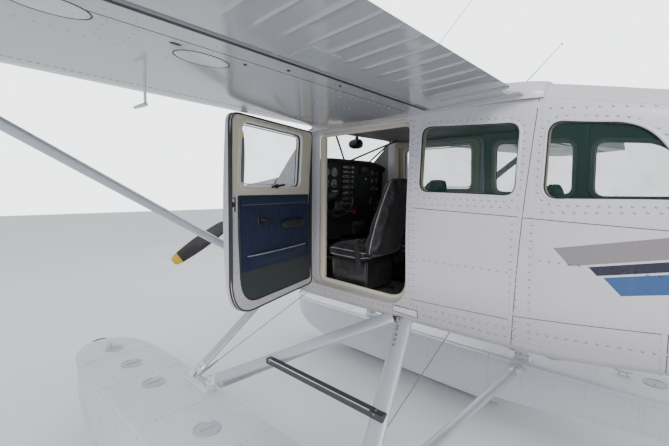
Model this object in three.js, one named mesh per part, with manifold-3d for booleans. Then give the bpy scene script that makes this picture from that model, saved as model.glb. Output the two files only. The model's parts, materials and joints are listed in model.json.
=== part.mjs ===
// Single-engine high-wing floatplane on two straight floats, parked on its keels with the port
// cabin door open. Millimetres, +Z up, +X to port, nose towards -Y.
// A place is given as (x, station, height): x from the centreline, station aft of the firewall,
// height above the float keels. The whole model is then moved so that it is centred fore and aft.
import * as THREE from "three";
import { mergeVertices } from "three/addons/utils/BufferGeometryUtils.js";
import Module from "manifold-3d";

const wasm = await Module();
wasm.setup();

// Driving dimensions
const gap = 0.3; // between pieces that touch
const bowTip = -1770;
const tailEnd = 7210;
const wallThickness = 40;
const floorHeight = 1500;
const roofHeight = 2765; // underside of the roof and top of the side panels
const roofHalfWidth = 565;
const frontSeam = 2310; // where the cabin sides meet the aft cabin sides
const aftSeam = 3200; // where the aft cabin meets the tail cone
const wing = {
  leadingEdge: 603, leadingHeight: 2831, chord: 1621, drop: 46, dihedral: 1.75,
  kink: 2540, tip: 5430, tipChord: 1120, camber: 0.02, thickness: 0.12,
};
const flap = { hinge: 1727, inner: 640, outer: 2900, gapWidth: 26 };
const aileron = { inner: 2930, outer: 5290, chordShare: 0.76, noseGap: 9 };
const propeller = { height: 2000, station: -1250, radius: 1015, blades: 3, spinnerRadius: 170 };
const float = { centre: 1480, deck: 680, step: 1430, fittingTop: 730, fittingX: 1215 };
const doorHinge = { x: 614, station: 600, openAngle: 72 };
const tailplane = { height: 2345, span: 3960, hinge: 6440, thickness: 0.1 };
const rudderHinge = { low: [6590, 2130], high: [6860, 3570] };

const paint = {
  white: { color: 0xe9e9ee, roughness: 0.25, metalness: 0 },
  grey: { color: 0xb9bbc1, roughness: 0.3, metalness: 0 },
  silver: { color: 0xa9adb3, roughness: 0.35, metalness: 0.6 },
  dark: { color: 0x1c1d20, roughness: 0.6, metalness: 0 },
  cast: { color: 0x5a5c60, roughness: 0.6, metalness: 0.8 },
  floor: { color: 0x4a4f55, roughness: 0.9, metalness: 0 },
  seat: { color: 0x15161a, roughness: 0.7, metalness: 0 },
  glass: { color: 0x9fc4b4, roughness: 0.05, metalness: 0, transparent: true, opacity: 0.35 },
};

const model = new THREE.Group();
model.position.y = -(bowTip + tailEnd) / 2;

const lerp = THREE.MathUtils.lerp;
const radians = THREE.MathUtils.degToRad;

// A geometry as a solid, with its faces turned out.
function solid(geometry) {
  const bare = geometry.index ? geometry.toNonIndexed() : geometry.clone();
  bare.deleteAttribute("normal");
  bare.deleteAttribute("uv");
  const merged = mergeVertices(bare, 1e-3);
  const corners = new Uint32Array(merged.index.array);
  const make = () =>
    new wasm.Manifold(
      new wasm.Mesh({ numProp: 3, vertProperties: merged.attributes.position.array, triVerts: corners }),
    );
  const made = make();
  if (made.volume() > 0) return made;
  for (let i = 0; i < corners.length; i += 3) {
    [corners[i + 1], corners[i + 2]] = [corners[i + 2], corners[i + 1]];
  }
  return make();
}

// What is left of a piece once its neighbour is cut out of it with the usual gap all round.
function clearOf(piece, neighbour) {
  let left = piece;
  for (const axis of [0, 1, 2]) {
    for (const sign of [-1, 1]) {
      const shift = [0, 0, 0];
      shift[axis] = sign * gap;
      left = left.subtract(neighbour.translate(shift));
    }
  }
  return left;
}

function geometryOf(made) {
  const mesh = made.getMesh();
  const geometry = new THREE.BufferGeometry();
  geometry.setAttribute("position", new THREE.BufferAttribute(new Float32Array(mesh.vertProperties), 3));
  geometry.setIndex(new THREE.BufferAttribute(new Uint32Array(mesh.triVerts), 1));
  const flat = geometry.toNonIndexed();
  flat.computeVertexNormals();
  return flat;
}

function place(name, made, look, parent = model) {
  const mesh = new THREE.Mesh(geometryOf(made), new THREE.MeshStandardMaterial(look));
  mesh.name = name;
  parent.add(mesh);
  return mesh;
}

// The starboard copy of a port piece.
function mirrored(made) {
  return made.mirror([1, 0, 0]);
}

function placePair(name, made, look) {
  place(name + "_left", made, look);
  place(name + "_right", mirrored(made), look);
}

// A closed skin through rings of equal count. Each end is filled by a flat cap.
function loft(rings) {
  const count = rings[0].length;
  const corners = [];
  for (let row = 0; row + 1 < rings.length; row += 1) {
    for (let j = 0; j < count; j += 1) {
      const next = (j + 1) % count;
      corners.push(rings[row][j], rings[row][next], rings[row + 1][next]);
      corners.push(rings[row][j], rings[row + 1][next], rings[row + 1][j]);
    }
  }
  corners.push(...cap(rings[0], true), ...cap(rings.at(-1), false));
  const geometry = new THREE.BufferGeometry().setFromPoints(corners);
  return solid(geometry);
}

// The flat filling of a ring, worked out in the plane that it spans.
function cap(ring, reversed) {
  const normal = new THREE.Vector3();
  const centre = ring[0];
  for (let j = 1; j + 1 < ring.length; j += 1) {
    const a = ring[j].clone().sub(centre);
    const b = ring[j + 1].clone().sub(centre);
    normal.add(a.cross(b));
  }
  normal.normalize();
  const across = new THREE.Vector3(Math.abs(normal.x) > 0.7 ? 0 : 1, Math.abs(normal.x) > 0.7 ? 1 : 0, 0);
  across.addScaledVector(normal, -across.dot(normal)).normalize();
  const up = normal.clone().cross(across);
  const flat = ring.map((p) => new THREE.Vector2(p.dot(across), p.dot(up)));
  const faces = THREE.ShapeUtils.triangulateShape(flat, []);
  return faces.flatMap(([a, b, c]) => (reversed ? [ring[c], ring[b], ring[a]] : [ring[a], ring[b], ring[c]]));
}

function box(x0, x1, s0, s1, h0, h1) {
  const shape = new THREE.BoxGeometry(x1 - x0, s1 - s0, h1 - h0);
  return solid(shape.translate((x0 + x1) / 2, (s0 + s1) / 2, (h0 + h1) / 2));
}

// A side outline of (station, height) points carried straight across from x0 to x1.
function sidePrism(outline, x0, x1) {
  const ring = (x) => outline.map(([s, h]) => new THREE.Vector3(x, s, h));
  return loft([ring(x0), ring(x1)]);
}

// A plan outline of (x, station) points carried straight up from h0 to h1.
function planPrism(outline, h0, h1) {
  const ring = (h) => outline.map(([x, s]) => new THREE.Vector3(x, s, h));
  return loft([ring(h0), ring(h1)]);
}

// A rounded outline: corners are [station, height, radius], each turned into an arc.
function rounded(corners, steps = 5) {
  const points = [];
  corners.forEach(([s, h, radius], i) => {
    const here = new THREE.Vector2(s, h);
    const [ps, ph] = corners[(i + corners.length - 1) % corners.length];
    const [ns, nh] = corners[(i + 1) % corners.length];
    const back = new THREE.Vector2(ps, ph).sub(here).normalize();
    const ahead = new THREE.Vector2(ns, nh).sub(here).normalize();
    const start = here.clone().addScaledVector(back, radius);
    const end = here.clone().addScaledVector(ahead, radius);
    for (let k = 0; k <= steps; k += 1) {
      const t = k / steps;
      const a = start.clone().lerp(here, t);
      const b = here.clone().lerp(end, t);
      const p = a.lerp(b, t);
      points.push([p.x, p.y]);
    }
  });
  return points;
}

// A bar from one point to another with an oval section: chord along the flight line.
function ovalBar(from, to, chord, thickness, sides = 10) {
  const a = new THREE.Vector3(...from);
  const b = new THREE.Vector3(...to);
  const along = b.clone().sub(a).normalize();
  const fore = new THREE.Vector3(0, 1, 0).addScaledVector(along, -along.y).normalize();
  const side = along.clone().cross(fore);
  const ring = (centre) =>
    Array.from({ length: sides }, (_, j) => {
      const turn = (2 * Math.PI * j) / sides;
      const p = centre.clone().addScaledVector(fore, (Math.cos(turn) * chord) / 2);
      return p.addScaledVector(side, (Math.sin(turn) * thickness) / 2);
    });
  return loft([ring(a), ring(b)]);
}

function rod(from, to, radius, sides = 10) {
  const a = new THREE.Vector3(...from);
  const b = new THREE.Vector3(...to);
  const shape = new THREE.CylinderGeometry(radius, radius, a.distanceTo(b), sides);
  const turn = new THREE.Quaternion().setFromUnitVectors(
    new THREE.Vector3(0, 1, 0), b.clone().sub(a).normalize(),
  );
  shape.applyQuaternion(turn);
  const middle = a.clone().add(b).multiplyScalar(0.5);
  return solid(shape.translate(middle.x, middle.y, middle.z));
}

// Fuselage sections: station, half width low, middle and top, belly, mid and top height,
// lower and upper corner radius.
const fuselageRows = [
  [-1050, 250, 330, 250, 1690, 2000, 2275, 150, 160],
  [-900, 330, 400, 320, 1590, 2020, 2330, 150, 160],
  [-400, 420, 480, 400, 1480, 2040, 2385, 110, 150],
  [0, 480, 525, 460, 1440, 2070, 2425, 70, 140],
];
const cabinRows = [
  [0, 480, 525, 460, 1440, 2070, 3000, 50, 120],
  [300, 530, 580, 525, 1432, 2070, 3000, 50, 120],
  [600, 560, 600, 558, 1430, 2070, 3000, 50, 120],
  [1600, 560, 600, 558, 1430, 2070, 3000, 50, 120],
  [frontSeam, 545, 590, 545, 1436, 2075, 2858, 45, 165],
];
const aftRows = [
  [frontSeam, 545, 590, 545, 1436, 2075, 2858, 45, 165],
  [2900, 470, 515, 460, 1482, 2095, 2742, 50, 170],
  [aftSeam, 430, 470, 415, 1518, 2105, 2695, 60, 165],
  [4200, 300, 340, 270, 1690, 2140, 2590, 90, 150],
  [5600, 150, 175, 130, 1930, 2190, 2450, 70, 80],
  [6540, 55, 70, 50, 2090, 2200, 2330, 30, 30],
];

function fuselageRing([station, low, middle, top, belly, mid, crown, lowRadius, topRadius], inset, steps = 4) {
  const half = [];
  const r0 = Math.max(lowRadius - inset, 8);
  const r1 = Math.max(topRadius - inset, 8);
  for (let k = 0; k <= steps; k += 1) {
    const turn = (Math.PI / 2) * (k / steps);
    half.push([low - inset - r0 + r0 * Math.sin(turn), belly + inset + r0 - r0 * Math.cos(turn)]);
  }
  half.push([middle - inset, mid]);
  for (let k = 0; k <= steps; k += 1) {
    const turn = (Math.PI / 2) * (k / steps);
    half.push([top - inset - r1 + r1 * Math.cos(turn), crown - inset - r1 + r1 * Math.sin(turn)]);
  }
  const port = half.map(([x, h]) => new THREE.Vector3(x, station, h));
  const starboard = half.map(([x, h]) => new THREE.Vector3(-x, station, h)).reverse();
  return [...port, ...starboard];
}

// The row at a station between two table rows.
function rowAt(rows, station) {
  const after = Math.max(1, rows.findIndex((row) => row[0] >= station));
  const [a, b] = [rows[after - 1], rows[after]];
  const share = (station - a[0]) / (b[0] - a[0]);
  return a.map((value, i) => lerp(value, b[i], share));
}

function fuselage(rows, from, to, inset = 0) {
  const between = rows.filter((row) => row[0] > from && row[0] < to);
  const stations = [rowAt(rows, from), ...between, rowAt(rows, to)];
  return loft(stations.map((row) => fuselageRing(row, inset)));
}

// Nose: a thin cowling with two air inlets and a middle opening, and the engine behind it.
const cowlWall = 15;
function noseCowling() {
  const outer = fuselage(fuselageRows, -1050, -gap);
  const inner = fuselage(fuselageRows, -1050 + cowlWall, 0, cowlWall);
  let shell = outer.subtract(inner);
  const inlet = rounded([[150, 2030, 40], [265, 2030, 40], [255, 2150, 40], [150, 2150, 40]]);
  for (const side of [1, -1]) {
    const ring = (s) => inlet.map(([x, h]) => new THREE.Vector3(side * x, s, h));
    shell = shell.subtract(loft([ring(-1100), ring(-1000)]));
  }
  const outlet = box(-170, 170, -120, 20, 1400, 1470);
  return shell
    .subtract(rod([0, -1100, propeller.height], [0, -1000, propeller.height], 120, 20))
    .subtract(outlet);
}

function engineBlock() {
  let block = box(-300, 300, -800, -220, 1770, 2120);
  for (const x of [-250, 250]) {
    for (const h of [1830, 2060]) {
      block = block.add(rod([x, -230, h], [x, -15 - gap, h], 18, 8));
    }
  }
  const shaft = rod([0, -860, propeller.height], [0, -1130, propeller.height], 45, 12);
  const crankcase = rod([0, -790, propeller.height], [0, -960, propeller.height], 110, 14);
  return block.add(crankcase).add(shaft);
}

function firewall() {
  return fuselage(fuselageRows, -1050 + cowlWall, 0, cowlWall + gap).intersect(box(-600, 600, -15, 0, 1400, 2500));
}

place("nose_cowling", noseCowling(), paint.white);
place("engine_block", engineBlock(), paint.cast);
place("firewall", firewall(), paint.silver);

// Cabin: a floor slab, two sides with door opening and window, a roof and an aft part.
const door = {
  front: 612, rear: 1548, lowFront: 1552, lowRear: 1535, topFront: 2743, topRear: 2738, clearance: 10,
  windowFront: 772, windowRear: 1455, windowLow: 2312, windowTop: 2694,
};
const doorOutline = (grow) => rounded([
  [door.front - grow, door.lowFront - grow, 60],
  [door.rear + grow, door.lowRear - grow, 190],
  [door.rear + grow, door.topRear + grow, 70],
  [door.front - grow, door.topFront + grow, 50],
]);
const doorWindow = (grow) => rounded([
  [door.windowFront - grow, door.windowLow - grow, 60],
  [door.windowRear + grow, door.windowLow - grow, 60],
  [door.windowRear + grow, door.windowTop + grow, 60],
  [door.windowFront - grow, door.windowTop + grow, 60],
]);
const middleWindow = (grow) => rounded([
  [1645 - grow, 2290 - grow, 60],
  [2208 + grow, 2274 - grow, 60],
  [2208 + grow, 2650 + grow, 60],
  [1645 - grow, 2682 + grow, 60],
]);
const rearWindow = (grow) => rounded([
  [2342 - grow, 2262 - grow, 70],
  [2948 + grow, 2268 - grow, 50],
  [2715 + grow, 2602 + grow, 110],
  [2342 - grow, 2644 + grow, 70],
]);

// Strap hinges stand off the skin at the door's front edge: a fixed half and a half on the door.
const hingeHeights = [1700, 2560];
function hingeHalf(onDoor) {
  const way = onDoor ? 1 : -1;
  const { x, station } = doorHinge;
  const halves = hingeHeights.map((height) => {
    const base = height + (onDoor ? gap : -20 - gap);
    const span = (a, b) => [station + Math.min(way * a, way * b), station + Math.max(way * a, way * b)];
    const strap = box(x - 10, x, ...span(0, 45), base, base + 20);
    const foot = box(x - 50, x, ...span(18, 45), base, base + 20);
    return strap.add(foot).add(rod([x, station, base], [x, station, base + 20], 8, 10));
  });
  return halves[0].add(halves[1]);
}

const floorLine = [
  [gap, 1400], [aftSeam - gap, 1400], [aftSeam - gap, 1610], [frontSeam, floorHeight], [gap, floorHeight],
];
const wideHalf = 800;

function cabinFloor() {
  const front = fuselage(cabinRows, gap, frontSeam);
  const aft = fuselage(aftRows, frontSeam, aftSeam - gap);
  return front.add(aft).intersect(sidePrism(floorLine, -wideHalf, wideHalf));
}

function cabinSide() {
  const outer = fuselage(cabinRows, gap, frontSeam - gap);
  const inner = fuselage(cabinRows, -10, frontSeam + 10, wallThickness);
  const region = sidePrism([
    [gap, floorHeight + gap], [frontSeam, floorHeight + gap], [frontSeam, roofHeight - gap],
    [596, roofHeight - gap], [gap, 2220],
  ], 200, wideHalf);
  return outer
    .subtract(inner)
    .intersect(region)
    .subtract(sidePrism(doorOutline(door.clearance), 200, wideHalf))
    .subtract(sidePrism(middleWindow(0), 200, wideHalf))
    .add(hingeHalf(false));
}

const aftRoofLine = [[frontSeam, roofHeight - gap], [aftSeam, 2590]];
function aftShell() {
  const outer = fuselage(aftRows, frontSeam, aftSeam - gap);
  return outer.subtract(fuselage(aftRows, frontSeam, aftSeam, wallThickness));
}

function aftSide() {
  const region = sidePrism([
    [frontSeam, floorHeight + gap], [aftSeam, 1610 + gap], aftRoofLine[1], aftRoofLine[0],
  ], 0, wideHalf);
  return aftShell().intersect(region).subtract(sidePrism(rearWindow(0), 200, wideHalf));
}

function aftRoof() {
  const [[s0, h0], [s1, h1]] = aftRoofLine;
  return aftShell().intersect(
    sidePrism([[s0, h0 + gap], [s1, h1 + gap], [s1, 3100], [s0, 3100]], -wideHalf, wideHalf),
  );
}

// Roof over the cabin between the wing roots: station, top height, shoulder radius, half width.
const roofRows = [
  [604, 2840, 12, roofHalfWidth], [640, 2885, 16, roofHalfWidth], [760, 2928, 22, roofHalfWidth],
  [1000, 2952, 40, roofHalfWidth], [1400, 2948, 60, roofHalfWidth], [1900, 2898, 70, roofHalfWidth],
  [2226, 2866, 80, roofHalfWidth], [frontSeam - gap, 2858, 90, 540],
];
function cabinRoof() {
  const rings = roofRows.map(([station, top, radius, halfWidth]) => {
    const base = station < 650 ? roofHeight + (650 - station) * 1.2 : roofHeight;
    const arc = [0, 1, 2, 3, 4].map((k) => (Math.PI / 2) * (k / 4));
    const port = arc.map((t) => [
      halfWidth - radius + radius * Math.cos(t), top - radius + radius * Math.sin(t),
    ]);
    const half = [[halfWidth, base], ...port];
    const star = half.map(([x, h]) => [-x, h]).reverse();
    return [...half, ...star].map(([x, h]) => new THREE.Vector3(x, station, h));
  });
  return loft(rings);
}

const hollowCabin = fuselage(cabinRows, 0, frontSeam, wallThickness + gap);
const roof = cabinRoof();
const side = cabinSide();
const floorSlab = cabinFloor();
place("cabin_floor", floorSlab, paint.floor);
placePair("cabin_side", side, paint.white);
placePair("aft_cabin_side", aftSide(), paint.grey);
place("cabin_roof", roof, paint.white);
place("aft_cabin_roof", aftRoof(), paint.white);

// Glass: each pane fills its opening to within the usual gap and is 6 thick.
const paneThickness = 6;
function pane(rows, from, to, outline) {
  const skin = fuselage(rows, from, to, 10).subtract(fuselage(rows, from - 1, to + 1, 10 + paneThickness));
  return skin.intersect(sidePrism(outline, 200, wideHalf));
}
const wideCabinRows = [cabinRows[0].map((v, i) => (i ? v : -20)), ...cabinRows,
  cabinRows.at(-1).map((v, i) => (i ? v : frontSeam + 20))];
placePair("middle_window", pane(wideCabinRows, 0, frontSeam, middleWindow(-gap)), paint.glass);
const wideAftRows = [aftRows[0].map((v, i) => (i ? v : frontSeam - 20)), ...aftRows];
placePair("rear_window", pane(wideAftRows, frontSeam, aftSeam, rearWindow(-gap)), paint.glass);

// Windshield: ruled from the top of the nose to the roof's front edge.
function windshield() {
  const columns = 24;
  const front = rowAt(fuselageRows, 0);
  const base = fuselageRing(front, 0, 4).slice(6, 16);
  const low = new THREE.CatmullRomCurve3([...base].map((p) => new THREE.Vector3(p.x, 4, p.z + 2)));
  const lowPoints = low.getSpacedPoints(columns);
  const first = 545;
  const rings = lowPoints.map((p, j) => {
    const u = 1 - (2 * j) / columns;
    const crown = 2835 - 66 * u ** 4;
    const high = new THREE.Vector3(first * u, 598, crown);
    const inward = new THREE.Vector3(-u * 3, 5, -5);
    return [p, high, high.clone().add(inward), p.clone().add(inward)];
  });
  return loft(rings)
    .subtract(roof.translate([0, -gap, 0]))
    .subtract(side.translate([-gap, 0, 0]))
    .subtract(side.translate([0, 0, gap]))
    .subtract(mirrored(side.translate([-gap, 0, 0])))
    .subtract(mirrored(side.translate([0, 0, gap])));
}
place("windshield", windshield(), paint.glass);

// Instrument panel with the glareshield in front of it, fitted between the walls.
function instrumentPanel() {
  const outline = [
    [40, 2240], [40, 2325], [90, 2395], [555, 2572], [571, 2556], [567, 2536],
    [525, 2524], [505, 1850], [477, 1850], [465, 2240],
  ];
  const belowGlass = box(-600, 600, 0, 600, 1800, 2280);
  const plan = [[395, 30], [430, 150], [505, 400], [512, 580]];
  const shelf = planPrism([...plan, ...plan.map(([x, s]) => [-x, s]).reverse()], 2200, 2600);
  return sidePrism(outline, -520, 520).intersect(hollowCabin).intersect(belowGlass.add(shelf));
}
place("instrument_panel", instrumentPanel(), paint.dark);

// Seats: a pedestal on the floor, a cushion and a raked back in one solid.
function seat(x, station, width, backTop, length = 470, lean = 95) {
  const half = width / 2;
  const pedestal = box(x - half + 60, x + half - 60, station + 60, station + length - 40, floorHeight + gap, 1760);
  const cushion = sidePrism(rounded([
    [station, 1750, 30], [station + length, 1740, 30], [station + length, 1850, 40], [station, 1880, 50],
  ], 3), x - half, x + half);
  const back = sidePrism(rounded([
    [station + length - 110, 1780, 20], [station + length + 20, 1760, 30],
    [station + length + 20 + lean, backTop, 40], [station + length - 70 + lean, backTop, 40],
  ], 3), x - half, x + half);
  return pedestal.add(cushion).add(back);
}
placePair("front_seat", seat(275, 690, 460, 2420, 470, 165), paint.seat);
placePair("middle_seat", seat(265, 1640, 440, 2380), paint.seat);
place("rear_bench", seat(0, 2400, 760, 2330, 420).subtract(floorSlab.translate([0, 0, gap])), paint.seat);

// Wing section: the height of the upper or lower surface above the chord line, as a share of chord.
function surface(share, upper) {
  const { camber, thickness } = wing;
  const peak = 0.4;
  const bow = share < peak
    ? (camber / peak ** 2) * (2 * peak * share - share ** 2)
    : (camber / (1 - peak) ** 2) * (1 - 2 * peak + 2 * peak * share - share ** 2);
  const half = 5 * thickness * (0.2969 * Math.sqrt(share) - 0.126 * share - 0.3516 * share ** 2
    + 0.2843 * share ** 3 - 0.1036 * share ** 4);
  return upper ? bow + half : bow - half;
}

// Leading edge, chord and twist of the wing at a distance from the centreline.
function wingAt(x) {
  const out = Math.max(0, (x - wing.kink) / (wing.tip - wing.kink));
  const chord = lerp(wing.chord, wing.tipChord, out);
  const rise = (x - roofHalfWidth) * Math.tan(radians(wing.dihedral));
  return {
    chord,
    leading: wing.leadingEdge + (wing.chord - chord) * 0.25,
    height: wing.leadingHeight + rise,
    drop: wing.drop * (chord / wing.chord) * lerp(1, -0.3, out),
  };
}

function wingPoint(x, share, upper) {
  const at = wingAt(x);
  const height = at.height - at.drop * share + surface(share, upper) * at.chord;
  return new THREE.Vector3(x, at.leading + at.chord * share, height);
}

const upperShares = [1, 0.9, 0.76, 0.6, 0.45, 0.3, 0.18, 0.09, 0.035, 0.008];
const lowerShares = [0, 0.012, 0.045, 0.12, 0.25, 0.45, 0.65, 0.85, 1];
function wingRing(x, squeeze = 1) {
  const ring = [
    ...upperShares.map((t) => wingPoint(x, t, true)),
    ...lowerShares.map((t) => wingPoint(x, t, false)),
  ];
  const at = wingAt(x);
  return ring.map((p) => {
    const line = at.height - at.drop * ((p.y - at.leading) / at.chord);
    return new THREE.Vector3(p.x, lerp(at.leading + at.chord * 0.4, p.y, 0.7 + 0.3 * squeeze),
      line + (p.z - line) * squeeze);
  });
}

const wingSpans = [roofHalfWidth + gap, wing.kink, wing.tip - 90];
const wingWhole = loft([
  ...wingSpans.map((x) => wingRing(x)), wingRing(wing.tip, 0.8), wingRing(wing.tip + 55, 0.35),
]);

// Knuckles along a hinge: short barrels, every other one on the moving piece.
function knuckles(from, to, radius, places, width, shift) {
  const a = new THREE.Vector3(...from);
  const b = new THREE.Vector3(...to);
  const along = b.clone().sub(a).normalize();
  return places.map((share) => {
    const middle = a.clone().lerp(b, share).addScaledVector(along, shift);
    const start = middle.clone().addScaledVector(along, -width / 2);
    const end = middle.clone().addScaledVector(along, width / 2);
    return [start.toArray(), end.toArray(), radius];
  });
}

const flapAxis = [flap.inner, flap.outer].map((x) => {
  const at = wingAt(x);
  const share = (flap.hinge - at.leading) / at.chord;
  const low = wingPoint(x, share, false);
  return [x, flap.hinge, low.z + 9];
});
const hingePlaces = [0.08, 0.5, 0.92];

// The bay that a flap sits in, and the flap itself with its inner corner cut off at an angle.
function flapBay(grow) {
  const front = flap.hinge - (grow ? flap.gapWidth / 2 : -flap.gapWidth / 2);
  const inner = flap.inner - grow;
  return planPrism([
    [inner, front], [flap.outer + grow, front], [flap.outer + grow, 2500], [inner, 2500],
  ], 2500, 3300);
}

function flapLeaf() {
  const corner = planPrism([[600, 2040], [640, 2040], [830, 2400], [600, 2400]], 2500, 3300);
  let leaf = wingWhole.intersect(flapBay(0)).subtract(corner);
  for (const [a, b] of knuckles(flapAxis[0], flapAxis[1], 9, hingePlaces, 40, 20.3)) {
    leaf = leaf.add(rod(a, b, 9, 10)).add(box(a[0], b[0], a[1], a[1] + 40, a[2] - 7, a[2] + 6));
  }
  return leaf;
}

const aileronAxis = [aileron.inner, aileron.outer].map((x) => {
  const up = wingPoint(x, aileron.chordShare, true);
  const low = wingPoint(x, aileron.chordShare, false);
  return { point: [x, up.y, (up.z + low.z) / 2], radius: (up.z - low.z) / 2 };
});

function aileronRegion(forward, grow) {
  const [a, b] = aileronAxis;
  return planPrism([
    [a.point[0] - grow, a.point[1] - forward(a)], [b.point[0] + grow, b.point[1] - forward(b)],
    [b.point[0] + grow, 2500], [a.point[0] - grow, 2500],
  ], 2500, 3400);
}

function taperedRod(a, b, shrink = 0) {
  const ring = ({ point, radius }) =>
    Array.from({ length: 14 }, (_, j) => {
      const turn = (2 * Math.PI * j) / 14;
      const r = radius - shrink;
      return new THREE.Vector3(point[0], point[1] + r * Math.cos(turn), point[2] + r * Math.sin(turn));
    });
  return loft([ring(a), ring(b)]);
}

function aileronLeaf() {
  const [a, b] = aileronAxis;
  let leaf = wingWhole.intersect(aileronRegion(() => 0, 0)).add(taperedRod(a, b, 0.5));
  for (const share of [0.12, 0.5, 0.88]) {
    const x = lerp(a.point[0], b.point[0], share);
    leaf = leaf.subtract(box(x - 20, x + 20, 1500, lerp(a.point[1], b.point[1], share) + 14, 2500, 3400));
  }
  return leaf;
}

// The aileron's hinge arms reach into slots in its nose, up to a pin boss on the axis.
function aileronArms() {
  const [a, b] = aileronAxis;
  return [0.12, 0.5, 0.88].map((share) => {
    const x = lerp(a.point[0], b.point[0], share);
    const s = lerp(a.point[1], b.point[1], share);
    const h = lerp(a.point[2], b.point[2], share);
    return box(x - 13, x + 13, s - 75, s, h - 9, h + 9).add(rod([x - 19.6, s, h], [x + 19.6, s, h], 9, 10));
  });
}

function wingFixed() {
  let body = wingWhole
    .subtract(flapBay(8))
    .subtract(aileronRegion((end) => end.radius + aileron.noseGap, 8));
  for (const [a, b] of knuckles(flapAxis[0], flapAxis[1], 9, hingePlaces, 40, -20.3)) {
    body = body.add(rod(a, b, 9, 10)).add(box(a[0], b[0], a[1] - 40, a[1], a[2] - 6, a[2] + 6));
  }
  for (const arm of aileronArms()) body = body.add(arm);
  return body;
}

const wingBody = wingFixed();
placePair("wing", wingBody, paint.grey);
placePair("flap", flapLeaf(), paint.grey);
placePair("aileron", aileronLeaf(), paint.grey);

// Wing strut: from the fuselage side ahead of the door to the wing's underside.
const strutLow = [520, 450, 1462];
const strutHigh = [3125, 1119, 2895];
const cabinOuter = fuselage(cabinRows, gap, frontSeam - gap);
const strutBar = ovalBar(strutLow, strutHigh, 110, 48).subtract(wingWhole.translate([0, 0, -gap]));
const wingStrut = clearOf(clearOf(strutBar, cabinOuter), mirrored(cabinOuter));
placePair("wing_strut", wingStrut, paint.silver);

// Tail cone, fin and tailplane.
function tailSurface(rows, centre, squash) {
  // rows: distance out, leading station, trailing station, half thickness
  return loft(rows.map(([out, lead, trail, half]) => {
    const shares = [[0, 0], [0.03, 0.45], [0.12, 0.8], [0.35, 1], [1, squash]];
    const top = shares.map(([t, f]) => [lerp(lead, trail, t), half * f]);
    const under = shares.slice(1).map(([t, f]) => [lerp(lead, trail, t), -half * f]).reverse();
    return [...top, ...under].map(([s, thick]) => centre(out, s, thick));
  }));
}

const flat = (out, s, thick) => new THREE.Vector3(out, s, tailplane.height + thick);
const upright = (out, s, thick) => new THREE.Vector3(thick, s, out);
const tailGap = 9;
const noseRadius = { root: 42, tip: 26 };
const halfSpan = tailplane.span / 2;
const tailplaneBody = tailSurface([
  [-halfSpan + 20, 6010, tailplane.hinge - noseRadius.tip - tailGap, 30],
  [-halfSpan * 0.9, 5950, tailplane.hinge - noseRadius.tip - tailGap, 36],
  [0, 5740, tailplane.hinge - noseRadius.root - tailGap, 46],
  [halfSpan * 0.9, 5950, tailplane.hinge - noseRadius.tip - tailGap, 36],
  [halfSpan - 20, 6010, tailplane.hinge - noseRadius.tip - tailGap, 30],
], flat, 0.75);

function hingedLeaf(rows, centre) {
  // rows: distance out, hinge station, trailing station, nose radius
  return loft(rows.map(([out, hinge, trail, radius]) => {
    const nose = Array.from({ length: 7 }, (_, k) => {
      const turn = Math.PI / 2 + (Math.PI * k) / 6;
      return [hinge + radius * Math.cos(turn), radius * Math.sin(turn)];
    });
    return [...nose, [trail, -4], [trail, 4]].map(([s, thick]) => centre(out, s, thick));
  }));
}

function elevatorLeaf() {
  const leaf = hingedLeaf([
    [95, tailplane.hinge, 6990, noseRadius.root - 2],
    [halfSpan * 0.9, tailplane.hinge, 6850, noseRadius.tip],
    [halfSpan - 10, tailplane.hinge, 6810, noseRadius.tip - 2],
  ], flat);
  const rudderRoom = planPrism([[80, 6480], [95, 6480], [330, 7100], [80, 7100]], 2200, 2500);
  let cut = leaf.subtract(rudderRoom);
  for (const x of [500, 1500]) cut = cut.subtract(box(x - 20, x + 20, 6300, tailplane.hinge + 14, 2250, 2450));
  return cut;
}

function tailplaneArms() {
  return [-1500, -500, 500, 1500].map((x) => {
    const s = tailplane.hinge;
    const h = tailplane.height;
    return box(x - 13, x + 13, s - 90, s, h - 9, h + 9).add(rod([x - 19.6, s, h], [x + 19.6, s, h], 9, 10));
  });
}

let tailplaneWhole = tailplaneBody;
for (const arm of tailplaneArms()) tailplaneWhole = tailplaneWhole.add(arm);
place("tailplane", tailplaneWhole, paint.white);
placePair("elevator", elevatorLeaf(), paint.white);

function tailCone() {
  const tailWall = 16;
  const shell = fuselage(aftRows, aftSeam, 6540).subtract(fuselage(aftRows, aftSeam - 1, 6500, tailWall));
  return clearOf(shell, tailplaneBody)
    .subtract(box(-300, 300, 5730, 6700, tailplane.height + 10, 2700));
}
place("tail_cone", tailCone(), paint.white);

// Fin and rudder along a hinge line that leans aft.
const hingeAt = (h) => {
  const [[s0, h0], [s1, h1]] = [rudderHinge.low, rudderHinge.high];
  return lerp(s0, s1, (h - h0) / (h1 - h0));
};
const rudderTilt = (Math.atan2(rudderHinge.high[0] - rudderHinge.low[0], rudderHinge.high[1] - rudderHinge.low[1])
  * 180) / Math.PI;
// A piece made about the origin, set on the rudder's hinge line at a height.
const onRudderHinge = (made, h) => made.rotate([-rudderTilt, 0, 0]).translate([0, hingeAt(h), h]);
const rudderArmHeights = [2600, 3300];

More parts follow.
